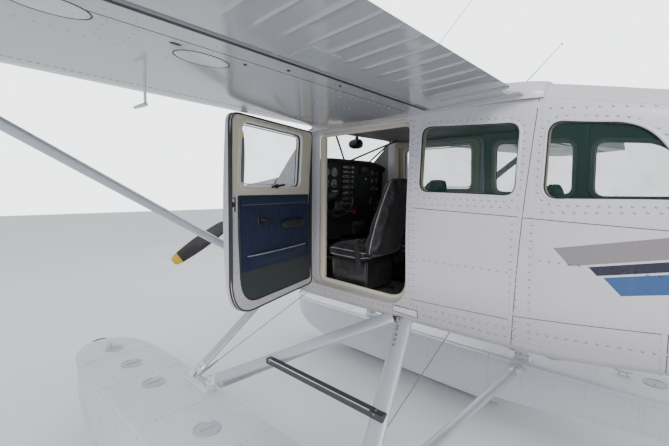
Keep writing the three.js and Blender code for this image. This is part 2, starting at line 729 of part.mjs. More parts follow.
function fin() {
  const rows = [
    [2360, 5600, hingeAt(2360) - 40 - tailGap, 40],
    [2520, 5640, hingeAt(2520) - 38 - tailGap, 42],
    [3480, 6400, hingeAt(3480) - 26 - tailGap, 28],
    [3580, 6530, hingeAt(3580) - 24 - tailGap, 20],
  ];
  const dorsal = tailSurface([
    [2380, 4650, 5900, 30], [2480, 4800, 5900, 26], [2640, 5400, 5900, 16],
  ], upright, 0.9);
  let blade = tailSurface(rows, upright, 0.85).add(dorsal);
  for (const h of rudderArmHeights) {
    const arm = box(-9, 9, -90, 0, -13, 13).add(rod([0, 0, -19.6], [0, 0, 19.6], 9, 10));
    blade = blade.add(onRudderHinge(arm, h));
  }
  blade = blade
    .subtract(fuselage(aftRows, aftSeam, 6540).translate([0, 0, gap]).subtract(box(-300, 300, 5735, 6700, 2345, 2700)))
    .subtract(box(-300, 300, 5600, 6700, 2000, 2350));
  return clearOf(blade, tailplaneBody);
}

function rudderLeaf() {
  let leaf = hingedLeaf([
    [2130, hingeAt(2130), 6990, 34],
    [2420, hingeAt(2420), 7080, 38],
    [3480, hingeAt(3480), 7200, 26],
    [3570, hingeAt(3570), 7190, 22],
  ], upright);
  for (const h of rudderArmHeights) leaf = leaf.subtract(onRudderHinge(box(-100, 100, -300, 16, -20, 20), h));
  return leaf;
}
place("fin", fin(), paint.white);
place("rudder", rudderLeaf(), paint.white);

// Propeller: a hub on the engine's shaft, three twisted blades and a pointed spinner.
const prop = propeller;
function blade(turn) {
  // distance from the axis, chord, thickness, pitch in degrees
  const rows = [
    [60, 70, 66, 60], [190, 82, 50, 52], [330, 150, 30, 40], [620, 165, 20, 28],
    [900, 135, 13, 21], [prop.radius, 60, 8, 18],
  ];
  const rings = rows.map(([out, chord, thickness, pitch]) =>
    Array.from({ length: 8 }, (_, j) => {
      const around = (2 * Math.PI * j) / 8;
      const along = (Math.cos(around) * chord) / 2;
      const across = (Math.sin(around) * thickness) / 2;
      const lean = radians(pitch);
      const p = new THREE.Vector3(
        along * Math.cos(lean) - across * Math.sin(lean),
        along * Math.sin(lean) + across * Math.cos(lean),
        out,
      );
      p.applyAxisAngle(new THREE.Vector3(0, 1, 0), turn);
      return p.add(new THREE.Vector3(0, prop.station, prop.height));
    }));
  return loft(rings);
}

function propellerSolid() {
  let hub = rod([0, prop.station - 70, prop.height], [0, -1130 - gap, prop.height], 75, 20);
  for (let k = 0; k < prop.blades; k += 1) hub = hub.add(blade((2 * Math.PI * k) / prop.blades));
  return hub;
}

function spinner() {
  const r = prop.spinnerRadius;
  const profile = [
    [0, -1400], [50, -1385], [95, -1345], [135, -1290], [160, -1220], [r, -1140], [r, -1090],
    [90, -1090], [90, -1130], [75.5, -1130], [75.5, -1320.5], [0, -1320.5],
  ];
  const shape = new THREE.LatheGeometry(profile.map(([x, y]) => new THREE.Vector2(x, y)), 20);
  let shell = solid(shape.translate(0, 0, prop.height));
  for (let k = 0; k < prop.blades; k += 1) {
    const turn = (2 * Math.PI * k) / prop.blades;
    const end = [Math.sin(turn) * 220, prop.station, prop.height + Math.cos(turn) * 220];
    shell = shell.subtract(rod([0, prop.station, prop.height], end, 56, 12));
  }
  return shell;
}
place("propeller_blades", propellerSolid(), paint.dark);
place("spinner", spinner(), paint.white);

// Floats. Rows: station, half deck, half chine, deck, chine and keel height.
const floatRows = [
  [bowTip, 60, 50, 640, 570, 530],
  [-1660, 190, 170, 662, 470, 400],
  [-1450, 290, 275, 674, 370, 240],
  [-1150, 345, 340, float.deck, 285, 100],
  [-600, 362, 365, float.deck, 210, 0],
  [float.step, 362, 365, float.deck, 185, 0],
  [float.step + 2, 358, 355, float.deck, 240, 75],
  [2600, 325, 305, float.deck, 335, 228],
  [3800, 235, 205, float.deck, 440, 375],
  [4650, 115, 95, float.deck, 550, 480],
];
function floatHull() {
  const rings = floatRows.map(([s, deckHalf, chineHalf, deck, chine, keel]) => {
    const edge = Math.min(35, deckHalf / 3);
    const half = [
      [12, keel], [chineHalf, chine], [chineHalf + 4, chine + 22], [deckHalf, deck - edge],
      [deckHalf - edge * 0.3, deck - edge * 0.3], [deckHalf - edge, deck],
    ];
    const port = half.map(([x, h]) => new THREE.Vector3(float.centre + x, s, h));
    const inner = half.map(([x, h]) => new THREE.Vector3(float.centre - x, s, h)).reverse();
    return [...port, ...inner];
  });
  const fittings = [[-210, 170], [1645, 1805]];
  let hull = loft(rings);
  for (const [s0, s1] of fittings) {
    hull = hull.add(box(float.fittingX - 50, float.fittingX + 50, s0, s1, float.deck - 20, float.fittingTop));
  }
  const post = rod([float.centre, 4705, 500], [float.centre, 4705, 560], 14, 10);
  return hull.add(box(float.centre - 14, float.centre + 14, 4600, 4705, 505, 555)).add(post);
}
const hull = floatHull();
placePair("float", hull, paint.silver);

// Float struts: front, rear and diagonal on each side, then the spreader bars and steps.
const fuselageOuter = fuselage(cabinRows, 0, frontSeam);
const seatedTop = (bar) => bar.subtract(fuselageOuter.translate([0, 0, -gap]))
  .subtract(fuselageOuter.translate([gap, 0, 0])).subtract(fuselageOuter);
const onFitting = box(-2000, 2000, -2000, 4000, -200, float.fittingTop + gap);
const footHeight = float.fittingTop - 15;
const struts = [
  ["front_float_strut", [400, 60, 1470], [float.fittingX, -130, footHeight], 100, 46],
  ["rear_float_strut", [500, 1511, 1480], [float.fittingX, 1725, footHeight], 125, 50],
  ["diagonal_float_strut", [505, 1475, 1462], [float.fittingX, 60, footHeight], 100, 46],
];
const strutSolids = {};
for (const [name, top, foot, chord, thickness] of struts) {
  let bar = seatedTop(ovalBar(top, foot, chord, thickness)).subtract(onFitting);
  if (name === "diagonal_float_strut") bar = clearOf(bar, strutSolids.rear_float_strut);
  strutSolids[name] = bar;
  placePair(name, strutSolids[name], paint.silver);
}

const spreader = { height: 600, reach: 1200, chord: 90, thickness: 44 };
function spreaderBar(station) {
  const { height, reach, chord, thickness } = spreader;
  const bar = ovalBar([-reach, station, height], [reach, station, height], chord, thickness);
  return clearOf(clearOf(bar, hull), mirrored(hull));
}
place("front_spreader_bar", spreaderBar(-20), paint.silver);
place("rear_spreader_bar", spreaderBar(1705), paint.silver);

const step = { front: 600, rear: 1695, inner: 943, outer: 998, height: 1010, thickness: 48 };
function boardingStep() {
  const low = step.height - step.thickness / 2;
  const top = step.height + step.thickness / 2;
  const outline = rounded([
    [step.front, low, 8], [step.rear, low, 8], [step.rear, top, 8], [step.front, top, 8],
  ], 2);
  const plank = sidePrism(outline, step.inner, step.outer);
  return clearOf(clearOf(plank, strutSolids.rear_float_strut), strutSolids.diagonal_float_strut);
}
placePair("boarding_step", boardingStep(), paint.silver);

// Doors: each is the cut-out part of the wall with its glass, hung on a pivot at its front edge.
function doorLeaf() {
  const outer = fuselage(cabinRows, gap, frontSeam - gap);
  const inner = fuselage(cabinRows, -10, frontSeam + 10, wallThickness);
  const leaf = outer.subtract(inner).intersect(sidePrism(doorOutline(0), 200, wideHalf));
  const window = sidePrism(doorWindow(0), 200, wideHalf);
  return leaf.subtract(window).add(hingeHalf(true));
}

function hungDoor(parent, leaf, glass, suffix) {
  place("front_door" + suffix, leaf, paint.white, parent);
  place("front_door_glass" + suffix, glass, paint.glass, parent);
}

const aboutHinge = [-doorHinge.x, -doorHinge.station, 0];
const leaf = doorLeaf();
const doorPane = pane(wideCabinRows, 0, frontSeam, doorWindow(-gap));
const openDoor = new THREE.Group();
openDoor.position.set(doorHinge.x, doorHinge.station, 0);
openDoor.rotation.z = -radians(doorHinge.openAngle);
model.add(openDoor);
hungDoor(openDoor, leaf.translate(aboutHinge), doorPane.translate(aboutHinge), "_left");
hungDoor(model, mirrored(leaf), mirrored(doorPane), "_right");

// Water rudders, lifted clear at the float sterns: a pivot collar with a raised blade.
function waterRudder() {
  const collar = rod([float.centre, 4705, 560 + gap], [float.centre, 4705, 640], 24, 12);
  const plate = sidePrism(rounded([
    [4715, 580, 10], [4760, 575, 20], [5060, 800, 60], [4960, 900, 60], [4715, 640, 10],
  ], 3), float.centre - 9, float.centre + 9);
  return collar.add(plate);
}
placePair("water_rudder", waterRudder(), paint.silver);

export default model;
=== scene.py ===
import json
import bpy
import numpy as np
from mathutils import Matrix, Vector
from mathutils.bvhtree import BVHTree

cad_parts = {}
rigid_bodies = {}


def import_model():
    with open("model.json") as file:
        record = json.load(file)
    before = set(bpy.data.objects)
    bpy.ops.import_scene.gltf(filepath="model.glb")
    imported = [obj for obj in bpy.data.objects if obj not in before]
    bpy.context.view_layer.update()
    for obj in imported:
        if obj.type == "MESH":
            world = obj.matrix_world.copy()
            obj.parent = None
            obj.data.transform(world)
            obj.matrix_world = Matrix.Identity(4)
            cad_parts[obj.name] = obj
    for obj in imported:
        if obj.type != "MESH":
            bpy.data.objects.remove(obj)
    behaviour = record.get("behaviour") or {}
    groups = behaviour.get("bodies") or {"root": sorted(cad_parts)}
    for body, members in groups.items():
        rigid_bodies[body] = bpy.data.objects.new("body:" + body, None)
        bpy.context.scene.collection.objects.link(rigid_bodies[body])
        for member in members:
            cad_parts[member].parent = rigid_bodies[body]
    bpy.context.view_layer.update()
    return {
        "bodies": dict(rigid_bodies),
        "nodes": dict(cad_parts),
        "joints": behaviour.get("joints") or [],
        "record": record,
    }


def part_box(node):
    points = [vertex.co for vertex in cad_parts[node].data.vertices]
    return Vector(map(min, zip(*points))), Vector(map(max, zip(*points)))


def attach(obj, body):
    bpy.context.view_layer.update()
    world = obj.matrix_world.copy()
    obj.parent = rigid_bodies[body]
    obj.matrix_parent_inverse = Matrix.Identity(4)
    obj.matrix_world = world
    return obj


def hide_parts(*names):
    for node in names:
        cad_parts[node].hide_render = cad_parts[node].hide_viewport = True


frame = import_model()
origin = 2.72  # station of the model's origin, metres aft of the firewall

# Places are (x, station, height) in millimetres, as the builder of an airframe gives them.


def place(points):
    # metres in the model frame: x, station less the origin, height
    p = np.asarray(points, float) / 1000
    return p - np.array([0, origin, 0])


def unit(v):
    # length one, same direction
    return v / np.linalg.norm(v)


# Camera and light: the plain studio

camera = dict(spot=(2.691, 0.226, 2.299), yaw=43.97, pitch=-4.918, roll=0.451, focal=390.65, width=669)


def setCamera():
    # turn from yaw, pitch and roll, lens from the focal length in picture widths
    yaw, pitch, roll = (np.radians(camera[k]) for k in ("yaw", "pitch", "roll"))
    ahead = np.array([-np.cos(yaw) * np.cos(pitch), -np.sin(yaw) * np.cos(pitch), np.sin(pitch)])
    side = unit(np.cross(ahead, [0, 0, 1]))
    up = np.cross(side, ahead)
    axes = (np.cos(roll) * side + np.sin(roll) * up, np.cos(roll) * up - np.sin(roll) * side, -ahead)
    data = bpy.data.cameras.new("photoCamera")
    data.sensor_width = 36
    data.lens = camera["focal"] * 36 / camera["width"]
    data.clip_end = 200
    obj = bpy.data.objects.new("photoCamera", data)
    bpy.context.collection.objects.link(obj)
    turn = Matrix([[*(float(a[j]) for a in axes), camera["spot"][j]] for j in range(3)] + [[0, 0, 0, 1]])
    obj.matrix_world = turn
    bpy.context.scene.camera = obj


def addLight(name, spot, aim, size, power, tint):
    # a rectangular area light at a spot, turned to its aim; size in m, power in W
    data = bpy.data.lights.new(name, "AREA")
    data.shape = "RECTANGLE"
    data.size, data.size_y = size
    data.energy = power
    data.color = tint
    obj = bpy.data.objects.new(name, data)
    bpy.context.collection.objects.link(obj)
    obj.location = spot
    obj.rotation_euler = (Vector(aim) - Vector(spot)).to_track_quat("-Z", "Y").to_euler()


def setStudio():
    # a pale sky, brighter where the camera sees it, and two soft boxes
    world = bpy.data.worlds.new("studio")
    bpy.context.scene.world = world
    world.use_nodes = True
    tree = world.node_tree
    sky = tree.nodes["Background"]
    sky.inputs["Color"].default_value = (0.93, 0.96, 1.0, 1)
    seen = node(tree, "ShaderNodeLightPath").outputs["Is Camera Ray"]
    tree.links.new(mathNode(tree, "ADD", mathNode(tree, "MULTIPLY", seen, 2.6), 1.1), sky.inputs["Strength"])
    addLight("keySoftbox", (9, 7, 9), (0, -1, 1.5), (6, 6), 1500, (1, 0.98, 0.95))
    addLight("fillSoftbox", (-8, -9, 7), (0, -1, 1.5), (8, 8), 260, (0.93, 0.96, 1))


# Meshes

angleSharp = np.radians(38)


def meshObject(name, verts, faces, smooth=angleSharp):
    # loose arrays become a mesh, shaded smooth except across sharp folds
    mesh = bpy.data.meshes.new(name)
    mesh.from_pydata(np.asarray(verts, float).tolist(), [], [tuple(int(i) for i in f) for f in faces])
    mesh.validate()
    obj = bpy.data.objects.new(name, mesh)
    bpy.context.collection.objects.link(obj)
    if smooth:
        mesh.shade_smooth()
        mesh.set_sharp_from_angle(angle=smooth)
    return obj


def gridFaces(rows, columns, loopRows=False, loopColumns=False, start=0):
    # quads between neighbours of a rows x columns grid of points
    i, j = np.meshgrid(np.arange(rows if loopRows else rows - 1),
                       np.arange(columns if loopColumns else columns - 1), indexing="ij")
    i, j = i.ravel(), j.ravel()
    a, b = i * columns + j, i * columns + (j + 1) % columns
    c, d = ((i + 1) % rows) * columns + (j + 1) % columns, ((i + 1) % rows) * columns + j
    return np.stack([a, b, c, d], 1) + start


def turnedOut(verts, faces):
    # signed volume by the divergence rule: negative means that the faces point inwards
    v = np.asarray(verts, float)
    f = np.asarray(faces)
    parts = [(0, 1, 2)] if f.shape[1] == 3 else [(0, 1, 2), (0, 2, 3)]
    volume = sum((v[f[:, a]] * np.cross(v[f[:, b]], v[f[:, c]])).sum() for a, b, c in parts)
    return volume >= 0


def tube(rings, closed=False):
    # a skin through rings of equal count, its ends filled by flat fans round a middle point
    rings = np.asarray(rings, float)
    rows, count = rings.shape[:2]
    verts = rings.reshape(-1, 3)
    quads = gridFaces(rows, count, loopRows=closed, loopColumns=True)
    faces = [tuple(q) for q in quads]
    if not turnedOut(verts, quads):
        faces = [tuple(q[::-1]) for q in quads]
    if not closed:
        flip = faces[0] != tuple(quads[0])
        middles = [rings[0].mean(0), rings[-1].mean(0)]
        verts = np.vstack([verts, middles])
        for end, base in ((0, 0), (1, (rows - 1) * count)):
            j = np.arange(count)
            ring = [base + j, base + (j + 1) % count, np.full(count, rows * count + end)]
            fan = np.stack(ring if bool(end) != flip else ring[::-1], 1)
            faces += [tuple(t) for t in fan]
    return verts, faces


class Bag:
    # gathers many small shapes into one mesh
    def __init__(self):
        self.verts, self.faces, self.count = [], [], 0

    def add(self, verts, faces):
        # faces count on from the points that the bag holds
        self.verts.append(np.asarray(verts, float))
        self.faces += [tuple(int(i) + self.count for i in f) for f in faces]
        self.count += len(verts)
        return self

    def tube(self, rings, closed=False):
        return self.add(*tube(rings, closed))

    def copies(self, verts, faces, frames):
        # one shape set at many frames: origin plus three axes each
        f = np.asarray([[int(i) for i in face] for face in faces])
        v = np.einsum("nij,kj->nki", frames[:, :, :3], np.asarray(verts, float)) + frames[:, None, :, 3]
        step = len(verts)
        flat = (f[None] + (np.arange(len(frames)) * step)[:, None, None]).reshape(-1, f.shape[1]) + self.count
        self.verts.append(v.reshape(-1, 3))
        self.faces += [tuple(q) for q in flat.tolist()]
        self.count += step * len(frames)
        return self

    def object(self, name, smooth=angleSharp):
        # one object from everything in the bag, mm to m
        return meshObject(name, place(np.vstack(self.verts)), self.faces, smooth)


def put(bag, shape, frame):
    # one shape set into a bag at a frame
    verts, faces = shape
    bag.add(np.asarray(verts) @ frame[:, :3].T + frame[:, 3], faces)


def loft(name, rings, smooth=angleSharp):
    # one object from a tube through rings
    verts, faces = tube(rings)
    return meshObject(name, place(verts), faces, smooth)


def both(bag):
    # the same shapes with their mirror images across the centreline
    verts = np.vstack(bag.verts)
    twin = Bag().add(verts, bag.faces)
    return twin.add(verts * [-1, 1, 1], [f[::-1] for f in bag.faces])


def mirrorBag(bag):
    # x changes sign, and each face is turned over
    verts = np.vstack(bag.verts)
    return Bag().add(verts * [-1, 1, 1], [f[::-1] for f in bag.faces])


def frameOf(origin, normal, along=(0, 0, 1)):
    # columns: along, across, normal and the origin
    n = unit(np.asarray(normal, float))
    a = np.asarray(along, float) - n * np.dot(n, along)
    a = unit(a) if np.linalg.norm(a) > 1e-6 else unit(np.cross(n, [1, 0.3, 0]))
    return np.column_stack([a, np.cross(n, a), n, np.asarray(origin, float)])


def fullTurn(count):
    # equal angles once round
    return 2 * np.pi * np.arange(count) / count


def circle(radius, level, turn, axis=2, centre=(0, 0)):
    # a ring of points square to one axis, at a level on that axis
    flat = np.column_stack([centre[0] + radius * np.cos(turn), centre[1] + radius * np.sin(turn)])
    return np.insert(flat, axis, level, axis=1)


def domeShape(radius, height, sides=6):
    # a rivet head: a ring on the skin, a smaller raised ring and a top point
    turn = fullTurn(sides)
    verts = np.vstack([circle(radius, -0.5, turn), circle(radius * 0.72, height * 0.75, turn),
                       [[0, 0, height]]])
    faces = [(j, (j + 1) % sides, sides + (j + 1) % sides) for j in range(sides)]
    faces += [(j, sides + (j + 1) % sides, sides + j) for j in range(sides)]
    faces += [(sides + j, sides + (j + 1) % sides, 2 * sides) for j in range(sides)]
    return verts, faces


def discShape(radius, height, sides=6):
    # a thin flat spot just off the skin
    rim = circle(radius, height, fullTurn(sides))
    return np.vstack([rim, [[0, 0, height]]]), [(j, (j + 1) % sides, sides) for j in range(sides)]


def hexShape(radius, height, washer=1.35):
    # a bolt head: six sides with a slightly bevelled top, on a round washer
    turn = np.pi / 3 * np.arange(6) + 0.2
    rings = [circle(r, z, turn) for r, z in ((radius * washer, -0.5), (radius * washer, 1.5), (radius, 1.6),
                                             (radius, height * 0.85), (radius * 0.85, height))]
    verts = np.vstack([*rings, [[0, 0, height]]])
    faces = []
    for k in range(4):
        for j in range(6):
            a, b = k * 6 + j, k * 6 + (j + 1) % 6
            faces += [(a, b, b + 6), (a, b + 6, a + 6)]
    faces += [(24 + j, 24 + (j + 1) % 6, 30) for j in range(6)]
    return verts, faces


def alongLine(points, places):
    # points of a polyline at places that a rule names from its whole length
    p = np.asarray(points, float)
    lengths = np.r_[0, np.cumsum(np.linalg.norm(np.diff(p, axis=0), axis=1))]
    at = places(lengths[-1])
    return np.column_stack([np.interp(at, lengths, p[:, k]) for k in range(p.shape[1])])


def evenly(count):
    # a rule for alongLine: so many points at equal steps
    return lambda length: np.linspace(0, length, count)


def rowPoints(points, pitch):
    # points along a polyline about one pitch apart
    return alongLine(points, lambda length: np.linspace(0, length, max(2, int(round(length / pitch)) + 1)))


def closedRow(outline, pitch):
    # rowPoints round a closed outline
    return rowPoints(np.vstack([outline, outline[:1]]), pitch)


def pipe(points, radius, sides=12, up=(0, 0, 1)):
    # a round bar along a path: rings square to the path's direction
    p = np.asarray(points, float)
    step = np.gradient(p, axis=0)
    t = step / np.linalg.norm(step, axis=1)[:, None]
    a = np.cross(t, up)
    a /= np.maximum(np.linalg.norm(a, axis=1), 1e-9)[:, None]
    b = np.cross(t, a)
    turn = fullTurn(sides)[None, :, None]
    r = np.broadcast_to(np.asarray(radius, float), len(p))[:, None, None]
    return p[:, None] + r * (np.cos(turn) * a[:, None] + np.sin(turn) * b[:, None])


def cornerArc(start, corner, end, steps):
    # a quadratic arc from start to end, drawn towards the corner
    t = np.arange(steps + 1)[:, None] / steps
    return (1 - t) ** 2 * start + 2 * t * (1 - t) * corner + t * t * end


def arcPath(points, radius, steps=6):
    # a polyline with its corners rounded by quadratic arcs
    p = [np.asarray(q, float) for q in points]
    out = [p[:1]]
    for a, b, c in zip(p, p[1:], p[2:]):
        ra, rc = (min(radius, np.linalg.norm(end - b) * 0.45) for end in (a, c))
        out.append(cornerArc(b + unit(a - b) * ra, b, b + unit(c - b) * rc, steps))
    return np.vstack([*out, p[-1:]])


def roundedOutline(corners, steps=10):
    # closed outline of (u, v, radius) corners, each turned into an arc
    c = np.asarray(corners, float)
    out = []
    for before, here, after, radius in zip(np.roll(c, 1, axis=0)[:, :2], c[:, :2],
                                           np.roll(c, -1, axis=0)[:, :2], c[:, 2]):
        start, end = (here + unit(other - here) * radius for other in (before, after))
        out.append(cornerArc(start, here, end, steps))
    return np.vstack(out)


def offsetOutline(outline, by):
    # an outline grown along its own normals by a distance
    p = np.asarray(outline, float)
    p = p[np.linalg.norm(p - np.roll(p, 1, axis=0), axis=1) > 1e-6]
    return p + outwards(p) * by


def outwards(outline):
    # unit normals of a closed outline, away from what it encloses
    p, ahead = outline, np.roll(outline, -1, axis=0)
    t = ahead - np.roll(p, 1, axis=0)
    t /= np.maximum(np.linalg.norm(t, axis=1), 1e-9)[:, None]
    area = (p[:, 0] * ahead[:, 1] - ahead[:, 0] * p[:, 1]).sum()
    return np.column_stack([t[:, 1], -t[:, 0]]) * np.sign(area)


def slices(outline, axis, steps):
    # the same outline at several levels of one axis: (level, growth)
    return [np.insert(offsetOutline(outline, grow), axis, level, axis=1) for level, grow in steps]


def cut(obj, cutters, operation="DIFFERENCE", smooth=angleSharp):
    # solid subtraction with each cutter, then smooth shading again
    for cutter in cutters:
        m = obj.modifiers.new("cut", "BOOLEAN")
        m.operation, m.solver, m.object = operation, "EXACT", cutter
        applyModifiers(obj)
        bpy.data.objects.remove(cutter)
    obj.data.shade_smooth()
    obj.data.set_sharp_from_angle(angle=smooth)
    return obj


def applyModifiers(obj):
    # the evaluated mesh takes the place of the plain one
    graph = bpy.context.evaluated_depsgraph_get()
    done = bpy.data.meshes.new_from_object(obj.evaluated_get(graph))
    obj.modifiers.clear()
    obj.data = done
    return obj


def prism(outline, axis, low, high):
    # an outline in the two other axes carried straight along one axis: 0 is across, 1 is fore and aft
    return loft("cutter", [np.insert(np.asarray(outline, float), axis, level,
                                     axis=1) for level in (low, high)], None)


# Materials

def newMaterial(name, color, roughness, metallic=0.0, coat=0.0, alpha=1.0):
    # a Principled shader with its fixed values
    material = bpy.data.materials.new(name)
    material.use_nodes = True
    shader = material.node_tree.nodes["Principled BSDF"]
    shader.inputs["Base Color"].default_value = (*color, 1)
    shader.inputs["Roughness"].default_value = roughness
    shader.inputs["Metallic"].default_value = metallic
    shader.inputs["Coat Weight"].default_value = coat
    shader.inputs["Alpha"].default_value = alpha
    return material, shader


def node(tree, kind, **values):
    # a new node with its settings
    made = tree.nodes.new(kind)
    for key, value in values.items():
        setattr(made, key, value)
    return made


def feed(tree, socket, value):
    # a socket takes another one, a colour or a number
    if isinstance(value, bpy.types.NodeSocket):
        tree.links.new(value, socket)
    else:
        socket.default_value = (*value[:3], 1) if isinstance(value, tuple) else value


def mixColor(tree, factor, a, b):
    # a blend of two colours: each of a, b is a colour or a socket
    m = node(tree, "ShaderNodeMix", data_type="RGBA")
    for k, value in ((0, factor), (6, a), (7, b)):
        feed(tree, m.inputs[k], value)
    return m.outputs[2]


def mathNode(tree, operation, a, b=0.0, clamp=False):
    # one operation on two values or sockets
    m = node(tree, "ShaderNodeMath", operation=operation, use_clamp=clamp)
    for socket, value in zip(m.inputs, (a, b)):
        feed(tree, socket, value)
    return m.outputs[0]


def rampNode(tree, factor, low, high, lowValue=0.0, highValue=1.0):
    # smooth step: lowValue at low, highValue at high
    m = node(tree, "ShaderNodeMapRange", interpolation_type="SMOOTHSTEP")
    for socket, value in zip(m.inputs, (factor, low, high, lowValue, highValue)):
        feed(tree, socket, value)
    return m.outputs[0]


def noiseNode(tree, vector, scale, detail):
    # noise from 0 to 1, finer with a larger scale
    m = node(tree, "ShaderNodeTexNoise")
    for key, value in dict(Vector=vector, Scale=scale, Detail=detail, Roughness=0.55).items():
        feed(tree, m.inputs[key], value)
    return m.outputs["Fac"]


def objectPlace(tree):
    # object coordinates in m
    return node(tree, "ShaderNodeTexCoord").outputs["Object"]


def shades(color, factor, add=0.0):
    # the same hue lighter or darker
    return tuple(c * factor + add for c in color)


def makeGroup(name, inputs, outputs):
    # an empty node group with its sockets
    group = bpy.data.node_groups.new(name, "ShaderNodeTree")
    for label, kind, value in inputs:
        socket = group.interface.new_socket(label, in_out="INPUT", socket_type=kind)
        socket.default_value = value
    for label, kind in outputs:
        group.interface.new_socket(label, in_out="OUTPUT", socket_type=kind)
    return group, node(group, "NodeGroupInput"), node(group, "NodeGroupOutput")


def weatherGroup():
    # handled paint: broad soft shade changes, fine grime and a rougher haze where it is dirty
    group, given, out = makeGroup(
        "paintWeather",
        [("Color", "NodeSocketColor", (1, 1, 1, 1)), ("Grime", "NodeSocketColor", (0.3, 0.28, 0.25, 1)),
         ("Amount", "NodeSocketFloat", 0.15), ("Roughness", "NodeSocketFloat", 0.3)],
        [("Color", "NodeSocketColor"), ("Roughness", "NodeSocketFloat"), ("Height", "NodeSocketFloat")])
    link = group.links.new
    where = objectPlace(group)
    broad = noiseNode(group, where, 1.7, 4)
    fine = noiseNode(group, where, 46, 5)
    stretch = node(group, "ShaderNodeMapping")
    stretch.inputs["Scale"].default_value = (9, 9, 1.1)
    link(where, stretch.inputs["Vector"])
    streak = noiseNode(group, stretch.outputs[0], 3.1, 4)
    dirt = mathNode(group, "MULTIPLY", rampNode(group, broad, 0.42, 0.72), rampNode(group, fine, 0.35, 0.75))
    dirt = mathNode(group, "ADD", dirt, mathNode(group, "MULTIPLY", rampNode(group, streak, 0.5, 0.8), 0.5))
    dirt = mathNode(group, "MULTIPLY", dirt, given.outputs["Amount"], clamp=True)
    tone = mixColor(group, dirt, given.outputs["Color"], given.outputs["Grime"])
    link(tone, out.inputs["Color"])
    haze = mathNode(group, "MULTIPLY", dirt, 0.9)
    haze = mathNode(group, "ADD", haze, mathNode(group, "MULTIPLY", rampNode(group, broad, 0.3, 0.8), 0.05))
    link(mathNode(group, "ADD", given.outputs["Roughness"], haze, clamp=True), out.inputs["Roughness"])
    wavy = mathNode(group, "ADD", mathNode(group, "MULTIPLY", noiseNode(group, where, 5.5, 2), 1.0),
                    mathNode(group, "MULTIPLY", noiseNode(group, where, 260, 2), 0.03))
    link(wavy, out.inputs["Height"])
    return group


weather = weatherGroup()


def useGroup(tree, group, **values):
    # one use of a node group, its inputs as values or sockets
    made = node(tree, "ShaderNodeGroup", node_tree=group)
    for key, value in values.items():
        feed(tree, made.inputs[key], value)
    return made


def bumpInto(tree, shader, height, strength, distance=0.001):
    # height to the shader's normal; distance in m
    bump = node(tree, "ShaderNodeBump")
    bump.inputs["Strength"].default_value = strength
    bump.inputs["Distance"].default_value = distance
    tree.links.new(height, bump.inputs["Height"])
    tree.links.new(bump.outputs[0], shader.inputs["Normal"])


def objectAxis(tree, axis):
    # one object coordinate in m
    split = node(tree, "ShaderNodeSeparateXYZ")
    tree.links.new(objectPlace(tree), split.inputs[0])
    return split.outputs[axis]


def paintMaterial(name, color, roughness=0.22, coat=0.5, grime=0.12, metallic=0.0, wave=0.25,
                  grimeColor=(0.34, 0.31, 0.28), recolor=None):
    # enamel over metal: weathered colour, gloss coat and the faint waves of thin sheet
    material, shader = newMaterial(name, color, roughness, metallic, coat)
    tree = material.node_tree
    base = recolor(tree, color) if recolor else color
    aged = useGroup(tree, weather, Color=base, Grime=grimeColor, Amount=grime, Roughness=roughness)
    tree.links.new(aged.outputs["Color"], shader.inputs["Base Color"])
    tree.links.new(aged.outputs["Roughness"], shader.inputs["Roughness"])
    shader.inputs["Coat Roughness"].default_value = 0.08
    bumpInto(tree, shader, aged.outputs["Height"], wave, 0.004)
    return material


def stripeColors(tree, color):
    # three slanted bands on the rear side: grey, dark blue and mid blue, over a colour that darkens towards
    # the belly
    y, z = objectAxis(tree, "Y"), objectAxis(tree, "Z")
    lean = mathNode(tree, "ADD", z, mathNode(tree, "MULTIPLY", y, -0.2))
    start = mathNode(tree, "ADD", y, mathNode(tree, "MULTIPLY", z, 0.9))
    tone = darkerTowardsBelly(tree, color)
    for low, high, first, band in ((1.99, 2.085, 1.50, (0.21, 0.19, 0.205)),
                                   (1.935, 1.98, 1.58, (0.0, 0.0, 0.022)),
                                   (1.835, 1.925, 1.60, (0.016, 0.072, 0.22))):
        inside = mathNode(tree, "MULTIPLY", mathNode(tree, "GREATER_THAN", lean, low),
                          mathNode(tree, "LESS_THAN", lean, high))
        inside = mathNode(tree, "MULTIPLY", inside, mathNode(tree, "GREATER_THAN", start, first))
        tone = mixColor(tree, inside, tone, band)
    return tone


def darkerTowardsBelly(tree, color):
    # darker towards the belly: share 0.62 at a height of 1.43 m, none from 1.80 m
    return mixColor(tree, rampNode(tree, objectAxis(tree, "Z"), 1.43, 1.80, 0.62, 0.0), color,
                    (0.26, 0.245, 0.235))


def seatMaterial(name, color, sheen):
    # soft grained leather: fine cells and slow colour change
    material, shader = newMaterial(name, color, 0.5)
    tree = material.node_tree
    where = objectPlace(tree)
    cells = node(tree, "ShaderNodeTexVoronoi", feature="DISTANCE_TO_EDGE")
    cells.inputs["Scale"].default_value = 420
    tree.links.new(where, cells.inputs["Vector"])
    tone = mixColor(tree, rampNode(tree, noiseNode(tree, where, 9, 4), 0.3, 0.7), color,
                    shades(color, 1.9, 0.004))
    tree.links.new(tone, shader.inputs["Base Color"])
    tree.links.new(rampNode(tree, noiseNode(tree, where, 14, 3), 0.3, 0.7, 0.42, 0.58),
                   shader.inputs["Roughness"])
    shader.inputs["Sheen Weight"].default_value = sheen
    bumpInto(tree, shader, cells.outputs["Distance"], 0.25, 0.0006)
    return material


